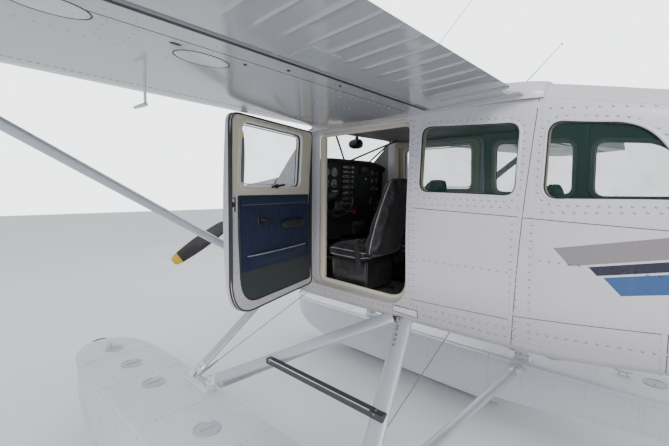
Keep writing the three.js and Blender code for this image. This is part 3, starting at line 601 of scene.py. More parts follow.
def rubberMaterial(name, color, roughness=0.7, scale=300, strength=0.2):
    # fine noise as bump on a dull shader
    material, shader = newMaterial(name, color, roughness)
    tree = material.node_tree
    where = objectPlace(tree)
    grain = noiseNode(tree, where, scale, 3)
    tone = mixColor(tree, rampNode(tree, grain, 0.3, 0.7), color, shades(color, 1.5, 0.004))
    tree.links.new(tone, shader.inputs["Base Color"])
    tree.links.new(rampNode(tree, noiseNode(tree, where, 11, 3), 0.3, 0.7, roughness - 0.1, roughness + 0.1),
                   shader.inputs["Roughness"])
    bumpInto(tree, shader, grain, strength, 0.0008)
    return material


def wovenMaterial(name, color, pitch=0.0022, strength=0.5):
    # cloth: two crossing waves make the weave
    material, shader = newMaterial(name, color, 0.85)
    tree = material.node_tree
    where = objectPlace(tree)
    waves = []
    for axis in ("X", "Z"):
        wave = node(tree, "ShaderNodeTexWave", bands_direction=axis)
        wave.inputs["Scale"].default_value = 0.31 / pitch
        wave.inputs["Distortion"].default_value = 0.4
        tree.links.new(where, wave.inputs["Vector"])
        waves.append(wave.outputs["Fac"])
    weave = mathNode(tree, "MULTIPLY", *waves)
    tone = mixColor(tree, weave, shades(color, 0.6), color)
    tone = mixColor(tree, mathNode(tree, "MULTIPLY", rampNode(tree, noiseNode(tree, where, 8, 3), 0.35, 0.7),
                                   0.35),
                    tone, shades(color, 0.5))
    tree.links.new(tone, shader.inputs["Base Color"])
    shader.inputs["Sheen Weight"].default_value = 0.06
    bumpInto(tree, shader, weave, strength, 0.0008)
    return material


def metalMaterial(name, color, roughness=0.32, brush=(1, 1, 40)):
    # bare metal: fine lines along one way and soft stains
    material, shader = newMaterial(name, color, roughness, 1.0)
    tree = material.node_tree
    where = objectPlace(tree)
    stretch = node(tree, "ShaderNodeMapping")
    stretch.inputs["Scale"].default_value = brush
    tree.links.new(where, stretch.inputs["Vector"])
    lines = noiseNode(tree, stretch.outputs[0], 60, 4)
    stain = rampNode(tree, noiseNode(tree, where, 7, 4), 0.4, 0.75)
    tone = mixColor(tree, mathNode(tree, "MULTIPLY", stain, 0.4), color, shades(color, 0.6))
    tree.links.new(tone, shader.inputs["Base Color"])
    tree.links.new(mathNode(tree, "ADD", rampNode(tree, lines, 0.3, 0.7, roughness - 0.08, roughness + 0.08),
                            mathNode(tree, "MULTIPLY", stain, 0.12)), shader.inputs["Roughness"])
    bumpInto(tree, shader, lines, 0.08, 0.0006)
    return material


def glassMaterial(name, color, alpha=0.3):
    # tinted acrylic: see-through with a faint smear in its gloss
    material, shader = newMaterial(name, color, 0.04, alpha=alpha)
    tree = material.node_tree
    where = objectPlace(tree)
    smear = rampNode(tree, noiseNode(tree, where, 4.5, 4), 0.4, 0.75)
    tree.links.new(mathNode(tree, "ADD", mathNode(tree, "MULTIPLY", smear, 0.05), 0.03),
                   shader.inputs["Roughness"])
    tree.links.new(mathNode(tree, "ADD", mathNode(tree, "MULTIPLY", smear, 0.05), alpha),
                   shader.inputs["Alpha"])
    tree.links.new(mixColor(tree, smear, color, tuple(min(1, c * 1.15) for c in color)),
                   shader.inputs["Base Color"])
    shader.inputs["Specular IOR Level"].default_value = 0.6
    return material


def floorMaterial():
    # plain pale studio floor
    material, shader = newMaterial("paleFloor", (0.78, 0.79, 0.8), 0.75)
    tree = material.node_tree
    where = objectPlace(tree)
    tone = mixColor(tree, noiseNode(tree, where, 0.35, 3), (0.74, 0.75, 0.77), (0.82, 0.83, 0.84))
    tree.links.new(tone, shader.inputs["Base Color"])
    return material


finish = dict(
    white=paintMaterial("whiteEnamel", (0.56, 0.55, 0.60), 0.24, 0.5, 0.10, recolor=darkerTowardsBelly),
    flank=paintMaterial("flankEnamel", (0.56, 0.55, 0.60), 0.26, 0.3, 0.12, recolor=stripeColors),
    underWing=paintMaterial("wingEnamel", (0.38, 0.385, 0.41), 0.16, 0.8, 0.10, wave=0.4),
    silver=paintMaterial("silverEnamel", (0.44, 0.47, 0.51), 0.34, 0.3, 0.22, metallic=0.35, wave=0.1),
    edge=paintMaterial("brightEdge", (0.66, 0.68, 0.72), 0.28, 0.3, 0.12, metallic=0.4, wave=0.1),
    float=paintMaterial("floatEnamel", (0.62, 0.64, 0.68), 0.34, 0.3, 0.25, metallic=0.15, wave=0.3,
                        grimeColor=(0.30, 0.30, 0.25)),
    cream=rubberMaterial("creamPlastic", (0.45, 0.42, 0.335), 0.45, 500, 0.08),
    lining=rubberMaterial("paleLining", (0.16, 0.16, 0.15), 0.6, 700, 0.1),
    rubber=rubberMaterial("blackRubber", (0.012, 0.012, 0.014), 0.55),
    trim=rubberMaterial("blackTrim", (0.016, 0.016, 0.019), 0.6, 900, 0.35),
    navy=wovenMaterial("navyCloth", (0.002, 0.012, 0.058), 0.003),
    kick=wovenMaterial("kickPanel", (0.035, 0.045, 0.045), 0.004),
    mat=wovenMaterial("floorMat", (0.05, 0.055, 0.065), 0.006),
    belt=wovenMaterial("beltWeb", (0.03, 0.03, 0.034), 0.002),
    seat=seatMaterial("blackLeather", (0.009, 0.009, 0.011), 0.15),
    piping=seatMaterial("greyPiping", (0.22, 0.22, 0.23), 0.0),
    bare=metalMaterial("bareSheet", (0.62, 0.63, 0.65)),
    steel=metalMaterial("boltSteel", (0.40, 0.41, 0.43), 0.3, (30, 30, 30)),
    cast=metalMaterial("engineCasting", (0.16, 0.16, 0.17), 0.55, (40, 40, 40)),
    darkSheet=metalMaterial("darkSheet", (0.13, 0.135, 0.145), 0.42, (1, 40, 1)),
    joint=rubberMaterial("jointShade", (0.05, 0.05, 0.055), 0.7),
    black=paintMaterial("blackPaint", (0.014, 0.014, 0.016), 0.35, 0.3, 0.15, wave=0.05),
    grip=rubberMaterial("nonSlip", (0.025, 0.025, 0.028), 0.9, 1400, 1.0),
    glass=glassMaterial("greenGlass", (0.003, 0.042, 0.035), 0.22),
    dial=glassMaterial("dialGlass", (0.9, 0.92, 0.95), 0.08),
    red=glassMaterial("redLens", (0.6, 0.02, 0.02), 0.85),
    green=glassMaterial("greenLens", (0.02, 0.4, 0.12), 0.85),
    dialWhite=paintMaterial("dialWhite", (0.75, 0.75, 0.73), 0.5, 0.0, 0.05, wave=0.0),
    navyPaint=paintMaterial("bluePaint", (0.01, 0.03, 0.16), 0.4, 0.2, 0.1, wave=0.05),
    yellow=paintMaterial("yellowPaint", (0.65, 0.42, 0.03), 0.4, 0.2, 0.1, wave=0.05),
)
print("materials made:", len(finish))


def dress(obj, look, body="airframe", replaces=()):
    # gives a piece its finish, the body it rides on and the nodes it stands for
    obj.data.materials.clear()
    for part in (look if isinstance(look, (list, tuple)) else [look]):
        obj.data.materials.append(finish[part])
    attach(obj, body)
    if replaces:
        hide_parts(*replaces)
    return obj


def dressPair(obj, otherName, look, stem, ownBody=False):
    # a port piece and its starboard copy, for the two nodes of one name stem
    for side, piece in (("left", obj), ("right", twin(obj, otherName))):
        target = f"{stem}_{side}"
        dress(piece, look, target if ownBody else "airframe", (target,))


setCamera()
setStudio()

# Fuselage: one table of sections, read smoothly at any station

# station, half width low, middle and top, belly, middle and crown height, lower and upper corner radius
noseRows = [
    [-1050, 250, 330, 250, 1690, 2000, 2275, 150, 160], [-900, 330, 400, 320, 1590, 2020, 2330, 150, 160],
    [-400, 420, 480, 400, 1480, 2040, 2385, 110, 150], [0, 480, 525, 460, 1440, 2070, 2425, 70, 140],
]
bodyRows = [
    [0, 480, 525, 460, 1440, 2070, 3000, 50, 120], [300, 530, 580, 525, 1432, 2070, 3000, 50, 120],
    [600, 560, 600, 558, 1430, 2070, 3000, 50, 120], [1600, 560, 600, 558, 1430, 2070, 3000, 50, 120],
    [2310, 545, 590, 545, 1436, 2075, 2858, 45, 165], [2900, 470, 515, 460, 1482, 2095, 2742, 50, 170],
    [3200, 430, 470, 415, 1518, 2105, 2695, 60, 165], [4200, 300, 340, 270, 1690, 2140, 2590, 90, 150],
    [5600, 150, 175, 130, 1930, 2190, 2450, 70, 80], [6540, 55, 70, 50, 2090, 2200, 2330, 30, 30],
]
cabin = dict(floor=1500, roof=2765, frontSeam=2310, aftSeam=3200, wall=40, roofHalf=565, aftFloor=1610,
             aftRoof=2590, postLow=2220, postTop=596)
hinge = dict(x=614, station=600, open=72)


def readTable(rows, at):
    # cubic through the rows, with slopes held back so that it never overshoots
    t = np.asarray(rows, float)
    s, y = t[:, 0], t[:, 1:]
    h = np.diff(s)[:, None]
    d = np.diff(y, axis=0) / h
    m = np.zeros_like(y)
    w1, w2 = 2 * h[1:] + h[:-1], h[1:] + 2 * h[:-1]
    safe = np.where(d[:-1] * d[1:] > 0, 1, 0)
    a, b = np.where(d[:-1] == 0, 1, d[:-1]), np.where(d[1:] == 0, 1, d[1:])
    m[1:-1] = safe * (w1 + w2) / (w1 / a + w2 / b)
    m[0], m[-1] = d[0], d[-1]
    at = np.atleast_1d(np.asarray(at, float))
    k = np.clip(np.searchsorted(s, at) - 1, 0, len(s) - 2)
    u = ((at - s[k]) / (s[k + 1] - s[k]))[:, None]
    hk = h[k]
    return ((1 + 2 * u) * (1 - u) ** 2 * y[k] + u * (1 - u) ** 2 * hk * m[k]
            + u * u * (3 - 2 * u) * y[k + 1] + u * u * (u - 1) * hk * m[k + 1])


def halfWidth(rows, station, height):
    # half width: corner arcs low and high, between them a quarter sine out to the middle and back
    station, height = np.broadcast_arrays(np.asarray(station, float), np.asarray(height, float))
    r = readTable(rows, station.ravel()).T.reshape(8, *station.shape)
    low, middle, top, belly, mid, crown, r0, r1 = r
    up = np.clip((height - belly - r0) / (mid - belly - r0), 0, 1)
    over = np.clip((height - mid) / (crown - r1 - mid), 0, 1)
    side = np.where(height < mid, low + (middle - low) * np.sin(up * np.pi / 2),
                    top + (middle - top) * np.cos(over * np.pi / 2))
    under = np.clip((belly + r0 - height) / r0, 0, 1)
    above = np.clip((height - crown + r1) / r1, 0, 1)
    side = side - r0 * (1 - np.sqrt(1 - under ** 2))
    return side - r1 * (1 - np.sqrt(1 - above ** 2))


def sectionRing(rows, station, inset=0.0, arc=9, side=14):
    # one whole section: belly, corner arc, side and corner arc, then the same mirrored
    low, middle, top, belly, mid, crown, r0, r1 = readTable(rows, station)[0]
    t = np.linspace(0, np.pi / 2, arc)
    r0, r1 = max(r0 - inset, 8), max(r1 - inset, 8)
    lower = np.column_stack([low - inset - r0 + r0 * np.sin(t), belly + inset + r0 - r0 * np.cos(t)])
    upper = np.column_stack([top - inset - r1 + r1 * np.cos(t), crown - inset - r1 + r1 * np.sin(t)])
    h = np.linspace(lower[-1, 1], upper[0, 1], side)[1:-1]
    flank = np.column_stack([halfWidth(rows, station, h) - inset, h])
    across = np.linspace(0, 1, 5)[:-1]
    flat = np.column_stack([across * lower[0, 0], np.full(4, lower[0, 1])])
    arched = np.column_stack([upper[-1, 0] * across[::-1], upper[-1, 1] + 9 * (1 - across[::-1] ** 2)])
    port = np.vstack([flat, lower, flank, upper, arched])
    star = port[1:-1][::-1] * [-1, 1]
    ring = np.vstack([port, star])
    return np.insert(ring, 1, station, axis=1)


def sections(rows, stations, inset=0.0):
    # one ring per station
    return np.array([sectionRing(rows, s, inset) for s in stations])


def wallRings(rows, stations, low, high, thickness, count=34):
    # a side wall: outer skin upwards, inner skin downwards, at each station
    s = np.asarray(stations, float)
    share = np.linspace(0, 1, count)
    h = low(s)[:, None] + (high(s) - low(s))[:, None] * share[None]
    outer = halfWidth(rows, s[:, None] + 0 * h, h)
    ring = np.stack([np.hstack([outer, (outer - thickness)[:, ::-1]]),
                     np.repeat(s[:, None], 2 * count, 1), np.hstack([h, h[:, ::-1]])], -1)
    return ring


def skinFrames(rows, stations, heights, side=1):
    # where rivets sit on the side skin, with the outward direction there
    s, h = np.broadcast_arrays(np.asarray(stations, float), np.asarray(heights, float))
    x = halfWidth(rows, s, h)
    dh = (halfWidth(rows, s, h + 4) - halfWidth(rows, s, h - 4)) / 8
    ds = (halfWidth(rows, s + 4, h) - halfWidth(rows, s - 4, h)) / 8
    return [frameOf((side * a, b, c), (side, -d, -e), (0, 1, 0)) for a, b, c, d, e in zip(x, s, h, ds, dh)]


def placesOf(mesh):
    # the vertices of a mesh as rows, in metres
    co = np.zeros(len(mesh.vertices) * 3)
    mesh.vertices.foreach_get("co", co)
    return co.reshape(-1, 3)


def paintBy(obj, rule):
    # rule(centres in mm, normals) gives each face's material number
    mesh = obj.data
    n = len(mesh.polygons)
    centre, normal = np.zeros(n * 3), np.zeros(n * 3)
    mesh.polygons.foreach_get("center", centre)
    mesh.polygons.foreach_get("normal", normal)
    centre = (centre.reshape(-1, 3) + [0, origin, 0]) * 1000
    mesh.polygons.foreach_set("material_index", rule(centre, normal.reshape(-1, 3)).astype(np.int32))
    mesh.update()


def wallLook(centre, normal):
    # slot by direction: 1 faces inwards, 2 is an edge, 0 faces outwards
    facing = normal[:, 0] * np.sign(centre[:, 0])
    return np.where(facing < -0.4, 1, np.where(facing < 0.5, 2, 0))


def twin(obj, name):
    # the starboard copy: x changes sign and every face is turned over
    mesh = obj.data.copy()
    mesh.vertices.foreach_set("co", (placesOf(mesh) * [-1, 1, 1]).ravel())
    mesh.flip_normals()
    made = bpy.data.objects.new(name, mesh)
    bpy.context.collection.objects.link(made)
    return made


door = dict(front=612, rear=1548, lowFront=1552, lowRear=1535, topFront=2743, topRear=2738, clearance=10,
            windowFront=772, windowRear=1455, windowLow=2312, windowTop=2694)


def doorOutline(grow):
    # the door's four rounded corners, grown all round
    d = door
    return offsetOutline(roundedOutline([
        (d["front"], d["lowFront"], 60), (d["rear"], d["lowRear"], 190),
        (d["rear"], d["topRear"], 70), (d["front"], d["topFront"], 50)]), grow)


def doorWindow(grow):
    # the opening in the door, grown all round
    d = door
    return offsetOutline(roundedOutline([
        (d["windowFront"], d["windowLow"], 60), (d["windowRear"], d["windowLow"], 60),
        (d["windowRear"], d["windowTop"], 60), (d["windowFront"], d["windowTop"], 60)]), grow)


def middleWindow(grow):
    # the opening beside the middle seats, grown all round
    return offsetOutline(roundedOutline([(1645, 2290, 60), (2208, 2274, 60), (2208, 2650, 60),
                                         (1645, 2682, 60)]), grow)


def rearWindow(grow):
    # the opening beside the rear bench, grown all round
    return offsetOutline(roundedOutline([(2342, 2262, 70), (2948, 2268, 50), (2715, 2602, 110),
                                         (2342, 2644, 70)]), grow)


def buildCabin():
    # walls, floor, roofs and tail cone
    c = cabin
    # front walls, cut for the door and the middle window
    post = lambda s: np.minimum(c["roof"] - 0.3, c["postLow"] + (c["roof"] - c["postLow"]) * s / c["postTop"])
    floor = lambda s: np.full_like(s, c["floor"] + 0.3)
    stations = np.r_[np.linspace(0.3, 596, 22), np.linspace(620, c["frontSeam"] - 0.3, 44)]
    wall = loft("cabinSideLeft", wallRings(bodyRows, stations, floor, post, c["wall"]))
    cut(wall, [prism(doorOutline(door["clearance"]), 0, 200, 800), prism(middleWindow(0), 0, 200, 800)])
    # rear walls between the floor line and the roof line
    share = lambda s: (s - c["frontSeam"]) / (c["aftSeam"] - c["frontSeam"])
    rise = lambda s: c["floor"] + (c["aftFloor"] - c["floor"]) * share(s) + 0.3
    fall = lambda s: c["roof"] + (c["aftRoof"] - c["roof"]) * share(s) - 0.3
    stations = np.linspace(c["frontSeam"], c["aftSeam"] - 0.3, 40)
    rear = loft("aftSideLeft", wallRings(bodyRows, stations, rise, fall, c["wall"]))
    cut(rear, [prism(rearWindow(0), 0, 200, 800)])
    for obj, look, stem in ((wall, "white", "cabin_side"), (rear, "flank", "aft_cabin_side")):
        for side, piece in (("left", obj), ("right", twin(obj, obj.name.replace("Left", "Right")))):
            dress(piece, (look, "lining", "cream"), replaces=(f"{stem}_{side}",))
            paintBy(piece, wallLook)
    # floor and belly: the section below the floor line, closed by the flat floor
    rings = []
    stations = np.r_[np.linspace(0.3, 600, 10), np.linspace(700, c["frontSeam"], 16),
                     np.linspace(c["frontSeam"] + 60, c["aftSeam"] - 0.3, 18)]
    for s in stations:
        top = c["floor"] if s <= c["frontSeam"] else float(rise(s))
        ring = sectionRing(bodyRows, s, arc=12, side=60)
        port = ring[:len(ring) // 2 + 1]
        port = port[port[:, 2] < top]
        arc = np.vstack([port, [[float(halfWidth(bodyRows, s, top)), s, top]]])
        port = alongLine(arc, lambda length: np.r_[np.linspace(0, length - 110, 8),
                                                   np.linspace(length - 100, length, 18)])
        rings.append(np.vstack([port, (port[1:] * [-1, 1, 1])[::-1]]))
    slab = loft("cabinFloor", rings)
    dress(slab, ("white", "mat"), replaces=("cabin_floor",))
    paintBy(slab, lambda centre, normal: np.where(normal[:, 2] > 0.9, 1, 0))
    # aft roof: the section above the roof line
    rings = []
    for s in stations[stations >= c["frontSeam"]]:
        base = float(fall(s)) + 0.6
        ring = sectionRing(bodyRows, s, arc=16, side=60)
        port = ring[:len(ring) // 2 + 1]
        port = port[port[:, 2] > base]
        outer = alongLine(np.vstack([[[float(halfWidth(bodyRows, s, base)), s, base]], port]), evenly(22))
        whole = np.vstack([outer, (outer[:-1] * [-1, 1, 1])[::-1]])
        middle = np.array([0, s, base - 200])
        away = whole - middle
        inner = whole - away / np.linalg.norm(away, axis=1)[:, None] * 38
        inner[:, 2] = np.maximum(inner[:, 2], base)
        rings.append(np.vstack([whole, inner[::-1]]))
    top = loft("aftRoof", rings)
    dress(top, ("white", "lining"), replaces=("aft_cabin_roof",))
    paintBy(top, lambda centre, normal: np.where(normal[:, 2] < -0.3, 1, 0))
    # roof between the wings
    rows = np.array([[604, 2840, 12, 565], [640, 2885, 16, 565], [760, 2928, 22, 565], [1000, 2952, 40, 565],
                     [1400, 2948, 60, 565], [1900, 2898, 70, 565], [2226, 2866, 80, 565],
                     [2309.7, 2858, 90, 541]])
    stations = np.r_[np.linspace(604, 760, 10), np.linspace(800, 2226, 30), np.linspace(2240, 2309.7, 5)]
    t = np.linspace(0, np.pi / 2, 10)
    rings = []
    for s, (crown, radius, half) in zip(stations, readTable(rows, stations)):
        base = c["roof"] + max(0, 650 - s) * 1.2
        port = np.vstack([[[half, base]], np.column_stack([half - radius + radius * np.cos(t),
                                                           crown - radius + radius * np.sin(t)])])
        across = np.linspace(0.85, 0, 5)[:-1]
        mid = np.column_stack([(half - radius) * across, crown + 6 * (1 - across ** 2)])
        port = np.vstack([port, mid])
        ring = np.vstack([port, [[0, crown + 6]], (port * [-1, 1])[::-1]])
        rings.append(np.insert(ring, 1, s, axis=1))
    roof = loft("cabinRoof", rings)
    dress(roof, ("white", "lining"), replaces=("cabin_roof",))
    paintBy(roof, lambda centre, normal: np.where(normal[:, 2] < -0.3, 1, 0))
    # tail cone
    stations = np.r_[np.linspace(c["aftSeam"], 6500, 60), 6520, 6540]
    cone = loft("tailCone", sections(bodyRows, stations))
    cut(cone, [prism([(5737, 2355), (6700, 2355), (6700, 2800), (5737, 2800)], 0, -300, 300)])
    dress(cone, ("flank", "lining"), replaces=("tail_cone",))
    paintBy(cone, lambda centre, normal: np.where((centre[:, 1] < 3205) & (normal[:, 1] < -0.9), 1, 0))
    print("cabin and tail cone made")


def buildNose():
    # cowling: outer less inner skin, round openings in the nose bowl and a slot below
    stations = np.r_[-1050, -1047, -1040, -1028, np.linspace(-1010, -0.3, 44)]
    outer = sections(noseRows, stations)
    lip = np.array([0.90, 0.94, 0.97, 0.99] + [1] * 44)[:, None, None]
    centre = np.array([0, 0, 1985])
    outer = (outer - centre) * np.concatenate([lip, np.ones_like(lip), lip], 2) + centre
    shell = loft("cowling", outer)
    inner = loft("cutter", sections(noseRows, np.linspace(-1030, 5, 40), 15), None)
    scoop = roundedOutline([(150, 2030, 40), (268, 2030, 45), (255, 2155, 45), (150, 2155, 40)])
    turn = fullTurn(48)
    shaftHole = np.column_stack([120 * np.cos(turn), 2000 + 120 * np.sin(turn)])
    cutters = [inner, *(prism(hole, 1, -1100, -1000) for hole in (scoop, scoop * [-1, 1], shaftHole)),
               prism([(-170, -120), (170, -120), (170, 20), (-170, 20)], 2, 1400, 1470)]
    cut(shell, cutters)
    dress(shell, ("white", "cast"), replaces=("nose_cowling",))
    paintBy(shell, lambda centre, normal: np.where(
        (normal[:, 0] * np.sign(centre[:, 0]) < -0.5) | ((normal[:, 1] > 0.9) & (centre[:, 1] < -900)), 1, 0))
    # windshield: straight lines from the nose deck to the roof edge, bowed outwards between them
    low = sectionRing(noseRows, 0, arc=14)
    low = alongLine(low[low[:, 2] > 2284], evenly(41)) + [0, 4, 2]
    u = 1 - 2 * np.arange(41) / 40
    high = np.column_stack([545 * u, np.full(41, 598), 2835 - 66 * u ** 4])
    v = np.linspace(0, 1, 26)[:, None, None]
    skin = low[None] * (1 - v) + high[None] * v
    bow = np.sin(np.pi * v) * 16
    away = np.column_stack([u * 0.5, np.full(41, -0.6), np.full(41, 0.7)])[None]
    skin = skin + bow * away
    inner = skin + np.column_stack([-3 * u, np.full(41, 5), np.full(41, -5)])[None]
    pane = loft("windshieldPane", np.concatenate([skin, inner[:, ::-1]], 1))
    dress(pane, "glass", replaces=("windshield",))
    return skin


def paneFor(name, outline, thickness=6, inset=10):
    # glass: bands from the middle out to the outline on the outer face, and back in on the inner one
    middle = outline.mean(0)
    shares = np.linspace(0.02, 1, 9)
    rings = [middle + (outline - middle) * s for s in shares]
    skins = []
    for depth, order in ((inset, rings), (inset + thickness, rings[::-1])):
        skins += [np.column_stack([halfWidth(bodyRows, *ring.T) - depth, ring]) for ring in order]
    return loft(name, skins)


def buildGlass():
    # panes beside the middle seats and the bench
    for name, outline, stem in (("middleWindow", middleWindow(-1), "middle_window"),
                                ("rearWindow", rearWindow(-1), "rear_window")):
        dressPair(paneFor(name + "Left", outline), name + "Right", "glass", stem)


buildCabin()
windshieldSkin = buildNose()
buildGlass()

# Wings, flaps and tail surfaces

wing = dict(leadingEdge=603, leadingHeight=2831, chord=1621, drop=46, dihedral=1.75, kink=2540, tip=5430,
            tipChord=1120, camber=0.02, thickness=0.12)
flap = dict(hinge=1727, inner=640, outer=2900, gap=26, firstBead=660, beadPitch=107.6, beadStart=1886,
            arms=(0.08, 0.5, 0.92))
aileron = dict(inner=2930, outer=5290, share=0.76, noseGap=9, arms=(0.12, 0.5, 0.88))
bead = dict(half=13, height=4.5)


def surface(share, upper):
    # section of 12 in 100: a two-piece parabola for the bow, half thickness by the usual five terms
    t = np.asarray(share, float)
    c, peak = wing["camber"], 0.4
    bow = np.where(t < peak, c / peak ** 2 * (2 * peak * t - t ** 2),
                   c / (1 - peak) ** 2 * (1 - 2 * peak + 2 * peak * t - t ** 2))
    half = 5 * wing["thickness"] * (0.2969 * np.sqrt(t) - 0.126 * t - 0.3516 * t ** 2 + 0.2843 * t ** 3
                                    - 0.1036 * t ** 4)
    return np.where(upper, bow + half, bow - half)


def wingAt(x):
    # leading edge station, chord, chord line height and its drop at a distance out
    x = np.asarray(x, float)
    out = np.maximum(0, (x - wing["kink"]) / (wing["tip"] - wing["kink"]))
    chord = wing["chord"] + (wing["tipChord"] - wing["chord"]) * out
    rise = (x - cabin["roofHalf"]) * np.tan(np.radians(wing["dihedral"]))
    return (wing["leadingEdge"] + (wing["chord"] - chord) * 0.25, chord, wing["leadingHeight"] + rise,
            wing["drop"] * chord / wing["chord"] * (1 - 1.3 * out))


def wingHeight(x, station, upper):
    # height - drop * t + surface(t) * chord, t the share of the chord
    lead, chord, height, drop = wingAt(x)
    t = np.clip((station - lead) / chord, 0, 1)
    return height - drop * t + surface(t, upper) * chord


def wingRing(x, squeeze=1.0, count=40):
    # upper surface from the trailing edge forwards, then the lower surface back
    lead, chord, height, drop = wingAt(x)
    t = (1 - np.cos(np.pi * np.arange(count + 1) / count)) / 2
    t = np.r_[t[::-1], t[1:]]
    upper = np.arange(len(t)) <= count
    line = height - drop * t
    s = lead + chord * t
    s = lead + chord * 0.4 + (s - lead - chord * 0.4) * (0.7 + 0.3 * squeeze)
    h = line + surface(t, upper) * chord * squeeze
    return np.column_stack([np.full(len(t), x), s, h])


def aileronEnds():
    # for both ends: x, station, middle height and half the thickness at the cut
    ends = []
    for x in (aileron["inner"], aileron["outer"]):
        lead, chord, height, drop = wingAt(x)
        s = float(lead + chord * aileron["share"])
        up, low = float(wingHeight(x, s, True)), float(wingHeight(x, s, False))
        ends.append((x, s, (up + low) / 2, (up - low) / 2))
    return ends


def flapAxisHeight(x):
    # the flap turns about one straight line between its two ends
    ends = (flap["inner"], flap["outer"])
    return float(np.interp(x, ends, [float(wingHeight(end, flap["hinge"], False)) + 9 for end in ends]))


def armShape(bag, s0, s1, h, x, half=9, wide=13):
    # a hinge arm: flat bar with a round eye round its pin
    turn = np.linspace(-np.pi / 2, np.pi / 2, 9)
    outline = np.vstack([[(s0, h - half), (s1, h - half)],
                         np.column_stack([s1 + half * np.cos(turn), h + half * np.sin(turn)])[1:-1],
                         [(s1, h + half), (s0, h + half)]])
    ring = lambda at: np.insert(outline, 0, at, axis=1)
    bag.tube([ring(x - wide), ring(x + wide)])
    pin = np.array([[x - wide - 6, s1, h], [x + wide + 6, s1, h]])
    bag.tube(pipe(pin, half * 0.6, 10))


def buildWing():
    # both wings, with cut-outs for flaps and ailerons, and the hinge arms
    spans = np.r_[cabin["roofHalf"] + 0.3, np.linspace(600, 5330, 34)]
    rings = [wingRing(x) for x in spans]
    tip = wing["tip"] + 55
    for share in np.sin(np.linspace(0.15, 0.5, 9) * np.pi):
        x = 5330 + (tip - 5330) * share
        squeeze = np.sqrt(max(0.02, 1 - ((x - 5330) / (tip - 5330)) ** 2))
        rings.append(wingRing(min(x, tip), max(0.3, squeeze)))
    panel = loft("wingLeft", rings, np.radians(32))
    front = flap["hinge"] - flap["gap"] / 2
    bay = [(flap["inner"] - 8, front), (flap["outer"] + 8, front), (flap["outer"] + 8, 2500),
           (flap["inner"] - 8, 2500)]
    a, b = aileronEnds()
    cove = [(a[0] - 8, a[1] - a[3] - aileron["noseGap"]), (b[0] + 8, b[1] - b[3] - aileron["noseGap"]),
            (b[0] + 8, 2500), (a[0] - 8, 2500)]
    cut(panel, [prism(bay, 2, 2500, 3300), prism(cove, 2, 2500, 3400)], smooth=np.radians(32))
    # faces turned aft in the flap bay and the aileron cove take black trim: painted shadow inside the gaps
    paintBy(panel, lambda centre, normal: np.where((normal[:, 1] > 0.85) & (centre[:, 1] > 1690), 1, 0))
    dressPair(panel, "wingRight", ("underWing", "trim"), "wing")
    arms = Bag()
    for share in aileron["arms"]:
        x, s, h = (a[k] + (b[k] - a[k]) * share for k in range(3))
        armShape(arms, s - 78, s, h, x)
    for share in flap["arms"]:
        x = flap["inner"] + (flap["outer"] - flap["inner"]) * share - 20
        armShape(arms, flap["hinge"] - 60, flap["hinge"], flapAxisHeight(x), x, 6, 12)
    dress(both(arms).object("wingHingeArms"), "silver")


def underFrame(x, s, along=(1, 0, 0)):
    # a spot on the wing's underside, with the outward direction there
    slope = [float(wingHeight(x + 5 * a, s + 5 * b, False) - wingHeight(x - 5 * a, s - 5 * b, False)) / 10
             for a, b in ((1, 0), (0, 1))]
    return frameOf((x, s, float(wingHeight(x, s, False))), (*slope, -1), along)


def underStrip(bag, path, section, closed=False):
    # a strip laid on the wing's underside along (x, station) points: corners as (across, out)
    path = np.asarray(path, float)
    way = np.roll(path, -1, axis=0) - np.roll(path, 1, axis=0) if closed else np.gradient(path, axis=0)
    way /= np.linalg.norm(way, axis=1)[:, None]
    ring = []
    for across, out in section:
        x, s = path[:, 0] - way[:, 1] * across, path[:, 1] + way[:, 0] * across
        ring.append(np.column_stack([x, s, wingHeight(x, s, False) - out]))
    bag.tube(np.stack(ring, 1), closed)


